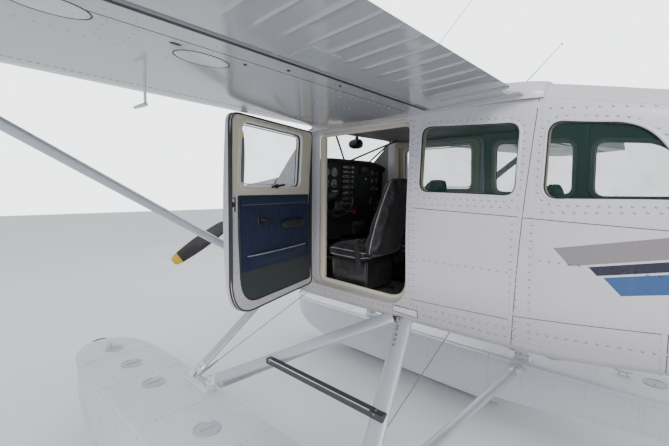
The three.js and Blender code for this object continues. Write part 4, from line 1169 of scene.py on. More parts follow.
def buildUnderside():
    # read along the photo: seam, rivet rows, oval covers, vent, a black strip along the flap gap as painted
    # shadow, and the flap patch
    line, heads, dark, plate = Bag(), [], Bag(), Bag()
    thin = ((-2, -1), (-2, 0.5), (2, 0.5), (2, -1))
    spans = lambda low, high, step: np.arange(low, high, step, dtype=float)
    level = lambda x, s: np.column_stack([x, s + 0 * x])
    underStrip(line, level(spans(700, 5200, 90), 1597.0), thin)
    for x in (3180.0, 4260.0):
        underStrip(line, level(np.full(20, x), np.linspace(900, 1590, 20)), thin)
    for s, pitch in ((1396, 46), (1578, 46), (1640, 90)):
        heads += [underFrame(x, s) for x in spans(690, 5150, pitch)]
    for x in (830, 1190, 1550, 2190, 2283, 2700, 3168, 3192, 3700, 4248, 4272, 4800):
        heads += [underFrame(x, s) for s in spans(1440, 1575, 44)]
    for x in (3168, 3192, 4248, 4272):
        heads += [underFrame(x, s) for s in spans(900, 1400, 44)]
    for x in spans(690, 5200, 30):
        underStrip(line, [(x, 905), (x + 7, 905), (x + 15, 905)],
                   ((-2.5, -1), (-2.5, 0.6), (2.5, 0.6), (2.5, -1)))
    turn = fullTurn(40)
    for x, s in ((1925, 1487), (2430, 1556), (3560, 1480), (4560, 1440)):
        oval = np.column_stack([x + 112 * np.cos(turn), s + 62 * np.sin(turn)])
        underStrip(line, oval, ((-2, -1), (-2, 1.2), (2.5, 1.2), (2.5, -1)), True)
        heads += [underFrame(x + 98 * np.cos(t), s + 50 * np.sin(t)) for t in turn[::5]]
        inner = [np.column_stack([x + 109 * k * np.cos(turn),
                                  s + 59 * k * np.sin(turn)]) for k in (1, 0.98, 0.5, 0.05)]
        plate.tube([np.column_stack([p, wingHeight(p[:, 0], p[:, 1], False) - out]) for p,
                    out in zip(inner, (-1, 1, 1, 1))])
    vent = np.column_stack([2061 + 22 * np.cos(turn[::4]), 1556 + 9 * np.sin(turn[::4])])
    dark.tube([np.column_stack([p, wingHeight(p[:, 0], p[:, 1], False) - out]) for p,
               out in ((vent, -2), (vent, 1))])
    for x, s in ((1780, 1562), (1618, 1637), (1197, 1700), (1320, 1652)):
        put(dark, domeShape(9, 5), underFrame(x, s))
    # a black strip along the flap gap, flush under the wing: painted shadow of the gap
    underStrip(dark, level(spans(642, 2905, 60), 1704.0), ((-9, -1), (-9, 1), (9, 1), (9, -1)))
    dress(both(line).object("wingSeams"), "joint")
    dress(both(plate).object("wingCovers"), "white")
    dress(both(dark).object("wingDark"), "trim")
    heads = Bag().copies(*domeShape(5.2, 1.8), np.array(heads))
    dress(both(heads).object("wingRivets", None), "underWing")
    # flap patch: a doubler sheet riding on the port flap
    patch = Bag()
    x = np.linspace(1563, 1716, 12)
    ring = [np.column_stack([x, np.full(12, s), wingHeight(x, np.full(12, s), False) - out]) for s, out in
            ((1748, -2), (1750, 2), (1820, 2.4), (1890, 2), (1892, -2))]
    patch.tube(np.stack(ring, 1))
    dress(patch.object("flapPatch"), "silver", "flap_left")


def buildOutside():
    # pitot mast and tube, whip antennas, lamps, fuel caps, tie-down rings and exhaust
    silver, dark, red, green, clear, steel = Bag(), Bag(), Bag(), Bag(), Bag(), Bag()
    top = float(wingHeight(1983, 1066, False))
    mast = ((-4, 0), (0, -13), (4, 0), (4, 12), (0, 15), (-4, 12))
    silver.tube([[(1983 + a, 1054 + b, top + z) for a, b in mast] for z in (3, -4, -112, -118)])
    tubeLine = np.array([[1983, s, top - 116 + 0.03 * (1066 - s)] for s in (1074, 1068, 1000, 930, 926)])
    silver.tube(pipe(tubeLine, [6, 9, 9, 7, 4], 12))
    for s, h, reach in ((1013, 2992, 930), (2000, 2954, 330)):
        way = np.array([0, 0.716, 0.698])
        foot = np.array([0, s, h - 4.0])
        put(silver, turned([(34, 0), (34, 5), (20, 9), (12, 26), (0.5, 28)], 16), frameOf(foot, (0, 0, 1)))
        silver.tube(pipe(foot + np.outer([10, 60, reach * 0.6, reach], way), [5, 4.5, 3, 2.2], 8))
        put(silver, turned([(0.5, -7), (5, -5), (7, 0), (5, 5), (0.5, 7)], 10),
            frameOf(foot + way * reach, way))
    for bag, sign in ((red, 1), (green, -1)):
        level = float(wingHeight(5420, 1010, True) + wingHeight(5420, 1010, False)) / 2
        tip = np.array([sign * 5478, 1010, level])
        put(bag, turned([(24, 0), (24, 4), (20, 16), (11, 26), (0.5, 29)], 18), frameOf(tip, (sign, 0, 0)))
    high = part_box("fin")[1]
    peak = np.array([0, (high[1] + origin) * 1000 - 190, high[2] * 1000 - 3])
    put(red, turned([(26, 0), (26, 8), (22, 26), (12, 36), (0.5, 39)], 18), frameOf(peak, (0, 0, 1)))
    # landing lamp behind a clear cover in the port leading edge
    rings = [wingRing(x)[33:48] for x in np.linspace(3560, 3790, 10)]
    cover = np.array([np.vstack([r + [0, -1.6, 0], (r + [0, 6, 0])[::-1]]) for r in rings])
    clear.tube(cover)
    for x in (3620, 3730):
        put(steel, turned([(0.5, -2), (30, -2), (34, 4), (30, 4), (0.5, 2)], 18),
            frameOf((x, 612, 2868 + 0.03 * (x - 3000)), (0, -1, 0)))
    for x in (1500, -1500, 2700, -2700):
        h = float(wingHeight(abs(x), 1120, True))
        put(silver, turned([(48, 0), (48, 3), (40, 6), (0.5, 7)], 24), frameOf((x, 1120, h), (0, 0, 1)))
        put(silver, boxShape(54, 10, 6, 2), frameOf((x, 1120, h + 6), (0, 0, 1)))
    turn = np.linspace(0, 2 * np.pi, 17)
    for x in (3190, -3190):
        h = float(wingHeight(abs(x), 1190, False))
        ring = np.column_stack([np.full(17, x), 1190 + 17 * np.sin(turn), h - 20 + 17 * np.cos(turn)])
        steel.tube(pipe(ring, 3.5, 8, up=(1, 0, 0)))
        put(silver, turned([(18, 0), (18, 4), (0.5, 5)], 14), frameOf((x, 1190, h), (0, 0, -1)))
    bend = arcPath([(-150, -560, 1560), (-156, -540, 1470), (-160, -470, 1424), (-162, -380, 1404)], 60)
    steel.tube(pipe(bend, np.r_[np.full(len(bend) - 1, 36), 33], 20))
    hole = bend[-1] + unit(bend[-1] - bend[-2]) * 0.6
    put(dark, turned([(32, -1), (32, 0.4), (0.5, 0.4)], 20), frameOf(hole, unit(bend[-1] - bend[-2])))
    for bag, look in ((silver, "edge"), (dark, "trim"), (red, "red"), (green, "green"), (clear, "dial"),
                      (steel, "steel")):
        dress(bag.object("outside" + look.title()), look)
    print("outside details made")


def beadHeight(out, beadsAt, height):
    # a pressed bead: a squared cosine across, highest on its line
    near = np.abs(out - beadsAt).min() / bead["half"]
    return np.cos(np.clip(near, 0, 1) * np.pi / 2) ** 2 * height


def leafRings(xs, front, trail, beadsAt, beadStart, noseSteps, noseDepth):
    # a control surface: upper skin forwards, nose, lower skin back, with pressed beads on both
    rings = []
    for x, f, r in zip(xs, front, trail):
        s = f + (r - f) * np.linspace(0, 1, 18) ** 0.9
        ends = np.clip((s - beadStart) / 14, 0, 1) * np.clip((r - 8 - s) / 10, 0, 1)
        ends = ends * ends * (3 - 2 * ends) * beadHeight(x, beadsAt, bead["height"])
        up, low = wingHeight(x, s, True) + ends, wingHeight(x, s, False) - ends
        mid, half = (up[0] + low[0]) / 2, (up[0] - low[0]) / 2
        turn = np.linspace(np.pi / 2, 3 * np.pi / 2, noseSteps + 2)[1:-1]
        arc = np.column_stack([f + half * noseDepth * np.cos(turn), mid + half * np.sin(turn)])
        ring = np.vstack([np.column_stack([s, up])[::-1], arc, np.column_stack([s, low])])
        rings.append(np.insert(ring, 0, x, axis=1))
    return rings


def beadColumns(low, high, at, step=30):
    # span positions, close together across each bead
    near = (np.asarray(at)[:, None] + np.array([-13, -8, -4, 0, 4, 8, 13])[None]).ravel()
    return np.unique(np.r_[np.arange(low, high, step), near[(near > low) & (near < high)], high])


def buildFlaps():
    # beaded flap skins on their hinge arms
    at = flap["firstBead"] + flap["beadPitch"] * np.arange(21)
    xs = beadColumns(flap["inner"], flap["outer"], at)
    lead, chord, _, _ = wingAt(xs)
    trail = lead + chord - 1.5
    front = np.full(len(xs), flap["hinge"] + flap["gap"] / 2)
    corner = np.maximum(2040 + (xs - 640) * 1.89, 2165)
    rings = leafRings(xs, front, np.minimum(trail, corner), at, flap["beadStart"], 6, 0.12)
    left = loft("flapLeft", rings, np.radians(50))
    dressPair(left, "flapRight", "underWing", "flap", True)
    arms = Bag()
    for share in flap["arms"]:
        x = flap["inner"] + (flap["outer"] - flap["inner"]) * share + 20
        armShape(arms, flap["hinge"] + 50, flap["hinge"], flapAxisHeight(x), x, 6, 12)
    # a rivet at the rear end of every bead
    for x in at[at > 700]:
        s = float(wingAt(x)[0] + wingAt(x)[1]) - 9
        put(arms, domeShape(4.5, 2.0), frameOf((x, s, float(wingHeight(x, s, False))), (0, 0, -1)))
    dress(arms.object("flapHingesLeft"), "steel", "flap_left")
    dress(mirrorBag(arms).object("flapHingesRight"), "steel", "flap_right")


def buildAilerons():
    # beaded aileron skins, with slots for the hinge arms
    a, b = aileronEnds()
    at = a[0] + 90 + 108 * np.arange(21)
    xs = beadColumns(a[0], b[0], at)
    share = (xs - a[0]) / (b[0] - a[0])
    front = a[1] + (b[1] - a[1]) * share
    lead, chord, _, _ = wingAt(xs)
    rings = leafRings(xs, front, lead + chord - 1.5, at, float(front.max()) + 60, 9, 1)
    left = loft("aileronLeft", rings, np.radians(50))
    slots = []
    for share in aileron["arms"]:
        x, s = (a[k] + (b[k] - a[k]) * share for k in range(2))
        slots.append(prism([(x - 20, 1500), (x + 20, 1500), (x + 20, s + 14), (x - 20, s + 14)], 2, 2500,
                           3400))
    cut(left, slots, smooth=np.radians(50))
    dressPair(left, "aileronRight", "underWing", "aileron", True)


tail = dict(height=2345, half=1980, hinge=6440, gap=9, root=42, tipRadius=26, arms=(500, 1500),
            rudderLow=2130, rudderHigh=3570, rudderFoot=6590, rudderHead=6860, rudderArms=(2600, 3300))


def plateRing(out, lead, trail, half, centre, squash):
    # a fixed tail surface: round nose, full thickness by a third, a square rear edge
    t = np.array([0, 0.01, 0.03, 0.07, 0.12, 0.2, 0.35, 0.6, 0.8, 1.0])
    f = np.array([0, 0.25, 0.45, 0.65, 0.8, 0.92, 1, 1 - (1 - squash) * 0.3, 1 - (1 - squash) * 0.6, squash])
    s = lead + (trail - lead) * t
    ring = np.vstack([np.column_stack([s, half * f]), np.column_stack([s, -half * f])[1:][::-1]])
    return np.array([centre(out, u, v) for u, v in ring])


def spread(rows, outs):
    # each column of the rows read at every distance out
    rows = np.asarray(rows, float)
    return [[o, *(np.interp(o, rows[:, 0], rows[:, k]) for k in range(1, rows.shape[1]))] for o in outs]


def tailFlat(out, s, thick):
    # (distance out, station, thickness) laid flat at the tailplane's height
    return (out, s, tail["height"] + thick)


def tailUpright(out, s, thick):
    # (height, station, thickness) stood upright on the centre line
    return (thick, s, out)


def movingRing(out, hingeAt, trail, radius, centre, beadsAt):
    # a moving tail surface: half round nose on the hinge line, straight sides to a thin edge, beads
    turn = np.linspace(np.pi / 2, 3 * np.pi / 2, 11)
    nose = np.column_stack([hingeAt + radius * np.cos(turn), radius * np.sin(turn)])
    t = np.linspace(0, 1, 16)[1:]
    s = hingeAt + (trail - hingeAt) * t
    thick = radius + (4 - radius) * t
    ends = np.clip((s - hingeAt - 70) / 25, 0, 1) * np.clip((trail - 12 - s) / 25, 0, 1)
    thick = thick + beadHeight(out, beadsAt, 3.5) * ends
    ring = np.vstack([nose, np.column_stack([s, -thick]), np.column_stack([s, thick])[::-1]])
    return np.array([centre(out, u, v) for u, v in ring])


def buildTail():
    # tailplane, elevators, fin and rudder on their hinge arms
    g, half = tail["gap"], tail["half"]
    rear = tail["hinge"] - tail["tipRadius"] - g
    rows = [(-half + 20, 6010, rear, 30), (-half * 0.9, 5950, rear, 36),
            (0, 5740, tail["hinge"] - tail["root"] - g, 46),
            (half * 0.9, 5950, rear, 36), (half - 20, 6010, rear, 30)]
    outs = np.r_[-half + 20, -half + 35, -half + 80, np.linspace(-half * 0.9, half * 0.9, 31), half - 80,
                 half - 35, half - 20]
    rings = [plateRing(o, a + (0 if abs(o) < 1900 else (abs(o) - 1900) ** 2 * 0.012), b, c, tailFlat, 0.75)
             for o, a, b, c in spread(rows, outs)]
    plane = loft("tailplanePanel", rings)
    dress(plane, "white", replaces=("tailplane",))
    arms = Bag()
    for x in (-1500, -500, 500, 1500):
        armShape(arms, tail["hinge"] - 92, tail["hinge"], tail["height"], x)
    # elevators
    rows = [(95, tail["hinge"], 6990, 40), (half * 0.9, tail["hinge"], 6850, 26),
            (half - 10, tail["hinge"], 6810, 24)]
    at = 180 + 118 * np.arange(15)
    outs = beadColumns(95, half - 10, at, 45)
    left = loft("elevatorLeft", [movingRing(o, a, b, c, tailFlat, at) for o, a, b, c in spread(rows, outs)],
                np.radians(50))
    slots = [prism([(x - 20, 6300), (x + 20, 6300), (x + 20, tail["hinge"] + 14),
                    (x - 20, tail["hinge"] + 14)],
                   2, 2250, 2450) for x in tail["arms"]]
    slots.append(prism([(80, 6480), (95, 6480), (330, 7100), (80, 7100)], 2, 2200, 2500))
    cut(left, slots, smooth=np.radians(50))
    for side, piece in (("left", left), ("right", twin(left, "elevatorRight"))):
        dress(piece, "white", "elevator", (f"elevator_{side}",))
    # fin with its long fillet, and the rudder on a line that leans aft
    low, high, foot, head = (tail[key] for key in ("rudderLow", "rudderHigh", "rudderFoot", "rudderHead"))
    lean = lambda h: foot + (head - foot) * (h - low) / (high - low)
    rows = [(2360, 5600, lean(2360) - 49, 40), (2520, 5640, lean(2520) - 47, 42),
            (3480, 6400, lean(3480) - 35, 28),
            (3580, 6530, lean(3580) - 33, 20)]
    outs = np.r_[2360, np.linspace(2400, 3480, 22), 3510, 3540, 3565, 3580]
    blade = loft("finPanel", [plateRing(o, a + max(0, o - 3480) ** 2 * 0.01, b, c, tailUpright, 0.85)
                              for o, a, b, c in spread(rows, outs)])
    fillet = [(2380, 4650, 5900, 30), (2480, 4800, 5900, 26), (2640, 5400, 5900, 16)]
    dorsal = loft("finFillet", [plateRing(o, a, b, c, tailUpright, 0.9)
                                for o, a, b, c in spread(fillet, np.linspace(2380, 2640, 12))])
    dress(blade, "white", replaces=("fin",))
    dress(dorsal, "white", replaces=("fin",))
    tilt = np.arctan2(head - foot, high - low)
    turn = np.array([[1, 0, 0], [0, np.cos(tilt), np.sin(tilt)], [0, -np.sin(tilt), np.cos(tilt)]])
    for h in tail["rudderArms"]:
        s = lean(h)
        bar = np.array([[x, y, z] for y in (-90, 4) for x, z in ((-9, -13), (9, -13), (9, 13), (-9, 13))],
                       float)
        arms.tube((bar @ turn.T + [0, s, h]).reshape(2, 4, 3))
        pin = np.array([[0, 0, -18.0], [0, 0, 18.0]]) @ turn.T + [0, s, h]
        arms.tube(pipe(pin, 7, 12, up=(1, 0, 0)))
    dress(arms.object("tailHingeArms"), "silver")
    rows = [(2130, lean(2130), 6990, 34), (2420, lean(2420), 7080, 38), (3480, lean(3480), 7200, 26),
            (3570, lean(3570), 7190, 22)]
    at = 2260 + 118 * np.arange(11)
    outs = beadColumns(2130, 3570, at, 45)
    rudder = loft("rudderLeaf", [movingRing(o, a, b, c, tailUpright, at) for o, a, b,
                                 c in spread(rows, outs)],
                  np.radians(50))
    slots = []
    for h in tail["rudderArms"]:
        corners = np.array([[x, y, z] for y in (-300, 16) for x,
                            z in ((-100, -22), (100, -22), (100, 22), (-100, 22))])
        slots.append(loft("cutter", (corners @ turn.T + [0, lean(h), h]).reshape(2, 4, 3), None))
    cut(rudder, slots, smooth=np.radians(50))
    dress(rudder, "white", "rudder", ("rudder",))
    print("wings and tail made")


buildWing()
buildFlaps()
buildAilerons()
buildUnderside()
buildTail()

# Struts, floats and propeller

hulls = dict(centre=1480, step=1430, fitting=1215)
bowRows = [[-1770, 60, 50, 640, 570, 530], [-1660, 190, 170, 662, 470, 400], [-1450, 290, 275, 674, 370, 240],
           [-1150, 345, 340, 680, 285, 100], [-600, 362, 365, 680, 210, 0], [1430, 362, 365, 680, 185, 0]]
sternRows = [[1432, 358, 355, 680, 240, 75], [2600, 325, 305, 680, 335, 228], [3800, 235, 205, 680, 440, 375],
             [4650, 115, 95, 680, 550, 480]]
strutEnds = dict(
    wing=((520, 450, 1462), (3125, 1119, 2895), 110, 48),
    front=((400, 60, 1470), (1215, -130, 715), 100, 46),
    rear=((500, 1511, 1480), (1215, 1725, 715), 125, 50),
    diagonal=((505, 1475, 1462), (1215, 60, 715), 100, 46))
plankSize = dict(front=600, rear=1695, inner=943, outer=998, height=1010, thick=48)


def barFrame(a, b):
    # direction, fore direction square to it, and the third side
    a, b = np.asarray(a, float), np.asarray(b, float)
    along = unit(b - a)
    fore = unit(np.array([0, 1, 0]) - along * along[1])
    return a, b, along, fore, np.cross(along, fore)


def ovalRing(centre, fore, side, chord, thick, count=28):
    # centre + cos(a) * fore * chord / 2 + sin(a) * side * thick / 2
    turn = fullTurn(count)
    return centre + np.cos(turn)[:, None] * fore * chord / 2 + np.sin(turn)[:, None] * side * thick / 2


def strutBar(name, key, start=0.0):
    # a streamlined tube between its two ends, with a small bevel at each
    a, b, along, fore, side = barFrame(*strutEnds[key][:2])
    chord, thick = strutEnds[key][2:]
    length = np.linalg.norm(b - a)
    at = np.r_[start * length, np.linspace(start * length + 5, length - 5, 12), length]
    bevel = np.r_[8, np.full(12, 2), 8]
    bar = loft(name, [ovalRing(a + along * d, fore, side, chord - k, thick - k) for d, k in zip(at, bevel)])
    if key == "wing":
        cut(bar, [loft("cutter", [wingRing(x) for x in np.linspace(2600, 3400, 24)], None)])
    # faces turned fore and aft, the strut's rounded nose and tail, take the brighter edge paint: a painted
    # highlight along both edges
    paintBy(bar, lambda centre, normal: np.where(np.abs(normal @ fore) > 0.62, 1, 0))
    dressPair(bar, name + "Right", ("silver", "edge"),
              "wing_strut" if key == "wing" else f"{key}_float_strut")
    return a, along, fore, side, chord, thick, length


def collar(bag, bar, steps):
    # a sleeve round a strut: (distance along, how much wider than the strut)
    a, along, fore, side, chord, thick, length = bar
    bag.tube([ovalRing(a + along * d, fore, side, chord + g, thick + g) for d, g in steps])


def boltsAcross(bag, bar, places, radius=9, flanks=(1, -1)):
    # bolt heads on the flanks of a strut: (distance along, offset aft)
    a, along, fore, side, chord, thick, length = bar
    for d, f in places:
        half = thick / 2 * np.sqrt(max(0.05, 1 - (2 * f / chord) ** 2))
        for sign in flanks:
            spot = a + along * d + fore * f + side * sign * (half + 2)
            put(bag, hexShape(radius, 7), frameOf(spot, side * sign, along))


def buildStruts():
    # wing struts and float struts with collars, bolts and plates
    bolts, plates, seals = Bag(), Bag(), Bag()
    # wing strut: a cuff with bolts at the wall, a plate on the wing's underside
    bar = strutBar("wingStrutLeft", "wing")
    collar(plates, bar, ((70, 2), (76, 12), (138, 12), (144, 2)))
    boltsAcross(bolts, bar, [(100, -22), (100, 22), (126, 0)])
    x, s = 3062, 1103
    h = float(wingHeight(x, s, False))
    plates.tube([[(x - 95, s - 100, h - z - 4), (x + 95, s - 100, h - z + 2), (x + 95, s + 100, h - z + 1),
                  (x - 95, s + 100, h - z - 5)] for z in (7, -6)])
    # float struts
    bars = {}
    for key in ("front", "rear", "diagonal"):
        bars[key] = strutBar(key + "StrutLeft", key, 0.02)
        end = bars[key][-1]
        boltsAcross(bolts, bars[key], [(end - 88, -22), (end - 88, 22), (end - 52, 0)])
        collar(plates, bars[key], ((end - 130, 4), (end - 122, 12), (end - 40, 12), (end - 34, 4)))
    # one row of bolts down the outer flank below the belly, as read in the photo
    boltsAcross(bolts, bars["rear"], [(66, -15)], 10, (1,))
    boltsAcross(bolts, bars["rear"], [(d, f) for d,
                                      f in ((92, -40), (122, -20), (142, -20), (182, -16), (215, -16),
                                                          (250, -16))], 5.5, (1,))
    for key, steps in (("rear", ((14, 6), (20, 16), (44, 16), (50, 4))),
                       ("front", ((10, 6), (16, 20), (36, 20), (44, 4))),
                       ("diagonal", ((34, 3), (38, 12), (52, 12), (56, 3)))):
        collar(seals, bars[key], steps)
    # a plate with a black edge on the lower corner of the wall above the rear strut
    for bag, grow, depth in ((seals, 5, 0.8), (plates, 0, 2.6)):
        s = np.linspace(1448 - grow, 1632 + grow, 12)
        share = (s - 1448) / 184
        low, high = 1492 - 8 * share - grow, 1526 + grow + 0 * s
        ring = [np.column_stack([halfWidth(bodyRows, s, h) + k, s, h]) for h, k in
                ((low, -2), (low, depth), ((low + high) / 2, depth), (high, depth), (high, -2))]
        bag.tube(np.stack(ring, 1))
    for s, h in ((1478, 1516), (1540, 1512), (1608, 1508)):
        put(bolts, domeShape(6, 3), skinFrames(bodyRows, [s], [h])[0])
    dress(both(seals).object("strutSeals"), "rubber")
    spreaders(bolts, plates)
    braceWires()
    boardingSteps(bolts, bars)
    dress(both(bolts).object("strutBolts"), "steel")
    dress(both(plates).object("strutPlates"), "edge")
    print("struts made")


def spreaders(bolts, plates):
    # spreader bars with cuffs at the hulls
    aft, up = np.array([0, 1.0, 0]), np.array([0, 0, 1.0])
    for name, s in (("front_spreader_bar", -20), ("rear_spreader_bar", 1705)):
        inner = 1480 - 362
        at = [-inner + 1, -inner + 4, *np.linspace(-inner + 40, inner - 40, 17), inner - 4, inner - 1]
        bar = loft(name.title().replace("_", ""),
                   [ovalRing(np.array([x, s, 600.0]), aft, up, 88, 42) for x in at])
        dress(bar, "silver", replaces=(name,))
        cuff = ((96, 90, 44), (90, 98, 52), (12, 98, 52), (10, 132, 92), (2, 132, 92))
        plates.tube([ovalRing(np.array([inner - d, s, 600.0]), aft, up, c, t) for d, c, t in cuff])
        for x in (inner - 75, inner - 35):
            for sign in (1, -1):
                put(bolts, hexShape(8, 7), frameOf((x, s, 600 + 26 * sign), (0, 0, sign), (1, 0, 0)))


def braceWires():
    # bracing wires cross between the float fittings and the far side of the belly, front and rear
    wires = Bag()
    for low, high in (((1215, -40, 745), (-430, 25, 1452)), ((1215, 1660, 745), (-490, 1548, 1452))):
        for mirror in (1, -1):
            p, q = low * np.array([mirror, 1, 1.0]), high * np.array([mirror, 1, 1.0]) + [0, 14 * mirror, 0]
            d = unit(q - p)
            wires.tube(pipe(np.array([p, p + (q - p) / 2, q]), 3.6, 8))
            for end, way in ((p, d), (q, -d)):
                wires.tube(pipe(np.array([end + way * k for k in (0, 6, 10, 120, 126, 190, 194)]),
                                [4, 9, 10, 10, 6, 6, 3.6], 10))
    dress(wires.object("braceWires"), "steel")


def boardingSteps(bolts, bars):
    # a square bar laid against the struts, dark and rough on top with a worn bright corner
    front, rear, inner, outer, height, thick = plankSize.values()
    low, top = height - thick / 2 + 1, height + thick / 2 - 3
    outline = roundedOutline([(front + 2, low, 6), (rear - 2, low, 6), (rear - 2, top, 6),
                              (front + 2, top, 6)])
    xs = [inner + 1, inner + 4, *np.linspace(inner + 8, outer - 8, 6), outer - 4, outer - 1]
    shrink = [4, 1, *[0] * 6, 1, 4]
    plank = loft("boardingStepLeft", slices(outline, 0, [(x, -k) for x, k in zip(xs, shrink)]))
    cutters = []
    for key in ("rear", "diagonal"):
        a, along, fore, side, chord, thick, length = bars[key]
        rings = [ovalRing(a + along * d, fore, side, chord - 2, thick - 2) for d in (100, length)]
        cutters.append(loft("cutter", rings, None))
    cut(plank, cutters)
    dressPair(plank, "boardingStepLeftRight", "darkSheet", "boarding_step")
    rough, worn = Bag(), Bag()
    rough.tube([[(inner + 12, 632, top + z), (outer - 9, 632, top + z), (outer - 9, rear - 8, top + z),
                 (inner + 12, rear - 8, top + z)] for z in (-1, 1.9)])
    worn.tube([[(outer - 7, s, top + 0.4), (outer - 2, s, top - 1.5), (outer - 1, s, top - 6),
                (outer - 6, s, top - 5)]
               for s in (640, 1120, 1600)])
    dress(both(rough).object("stepNonSlip"), "grip")
    dress(both(worn).object("stepCorner"), "edge")
    for s in (650, 1634):
        put(bolts, hexShape(6, 5), frameOf((inner + 32, s, top + 1.5), (0, 0, 1)))
        put(bolts, hexShape(6, 4), frameOf((outer - 1.5, s, top - 12), (1, 0, 0)))


def hullRing(row, s):
    # keel, hollow bottom, chine lip, side, rounded gunwale and crowned deck, then mirrored
    deckHalf, chineHalf, deck, chine, keel = row
    edge = min(35, deckHalf / 3)
    t = np.linspace(0, 1, 10)
    half = [np.column_stack([12 + (chineHalf - 12) * t,
                             keel + (chine - keel) * t + np.sin(np.pi * t) * min(9, deckHalf * 0.03)])]
    half.append(np.array([[chineHalf + 5, chine + 1], [chineHalf + 7, chine + 8], [chineHalf + 5, chine + 20],
                          [chineHalf + 1, chine + 23]]))
    t = np.linspace(0, 1, 8)[1:]
    x0, h0, x1, h1 = chineHalf + 1, chine + 23, deckHalf, deck - edge
    half.append(np.column_stack([x0 + (x1 - x0) * t, h0 + (h1 - h0) * t]))
    turn = np.linspace(0, np.pi / 2, 6)[1:]
    half.append(np.column_stack([deckHalf - edge + edge * np.cos(turn), deck - edge + edge * np.sin(turn)]))
    t = np.linspace(1, 0, 5)[1:]
    half.append(np.column_stack([(deckHalf - edge) * t, deck + 7 * (1 - t ** 2)]))
    half = np.vstack(half)
    ring = np.vstack([half, (half[:-1] * [-1, 1])[::-1]])
    return np.insert(ring + [hulls["centre"], 0], 1, s, axis=1)


def floatRow(s):
    # half widths and heights of the hull, ahead of the step or behind it
    return readTable(bowRows if s <= hulls["step"] else sternRows, s)[0]


def hullSide(s, share, side):
    # a point on the hull's flank, share 0 at the chine and 1 at the gunwale, and its outward direction
    deckHalf, chineHalf, deck, chine, keel = floatRow(s)
    edge = min(35, deckHalf / 3)
    x = chineHalf + (deckHalf - chineHalf) * share
    h = chine + 23 + (deck - edge - chine - 23) * share
    return (hulls["centre"] + side * x, s, h), (side, -0.1 if s > 0 else -0.3,
                                                (chineHalf - deckHalf) / (deck - chine))


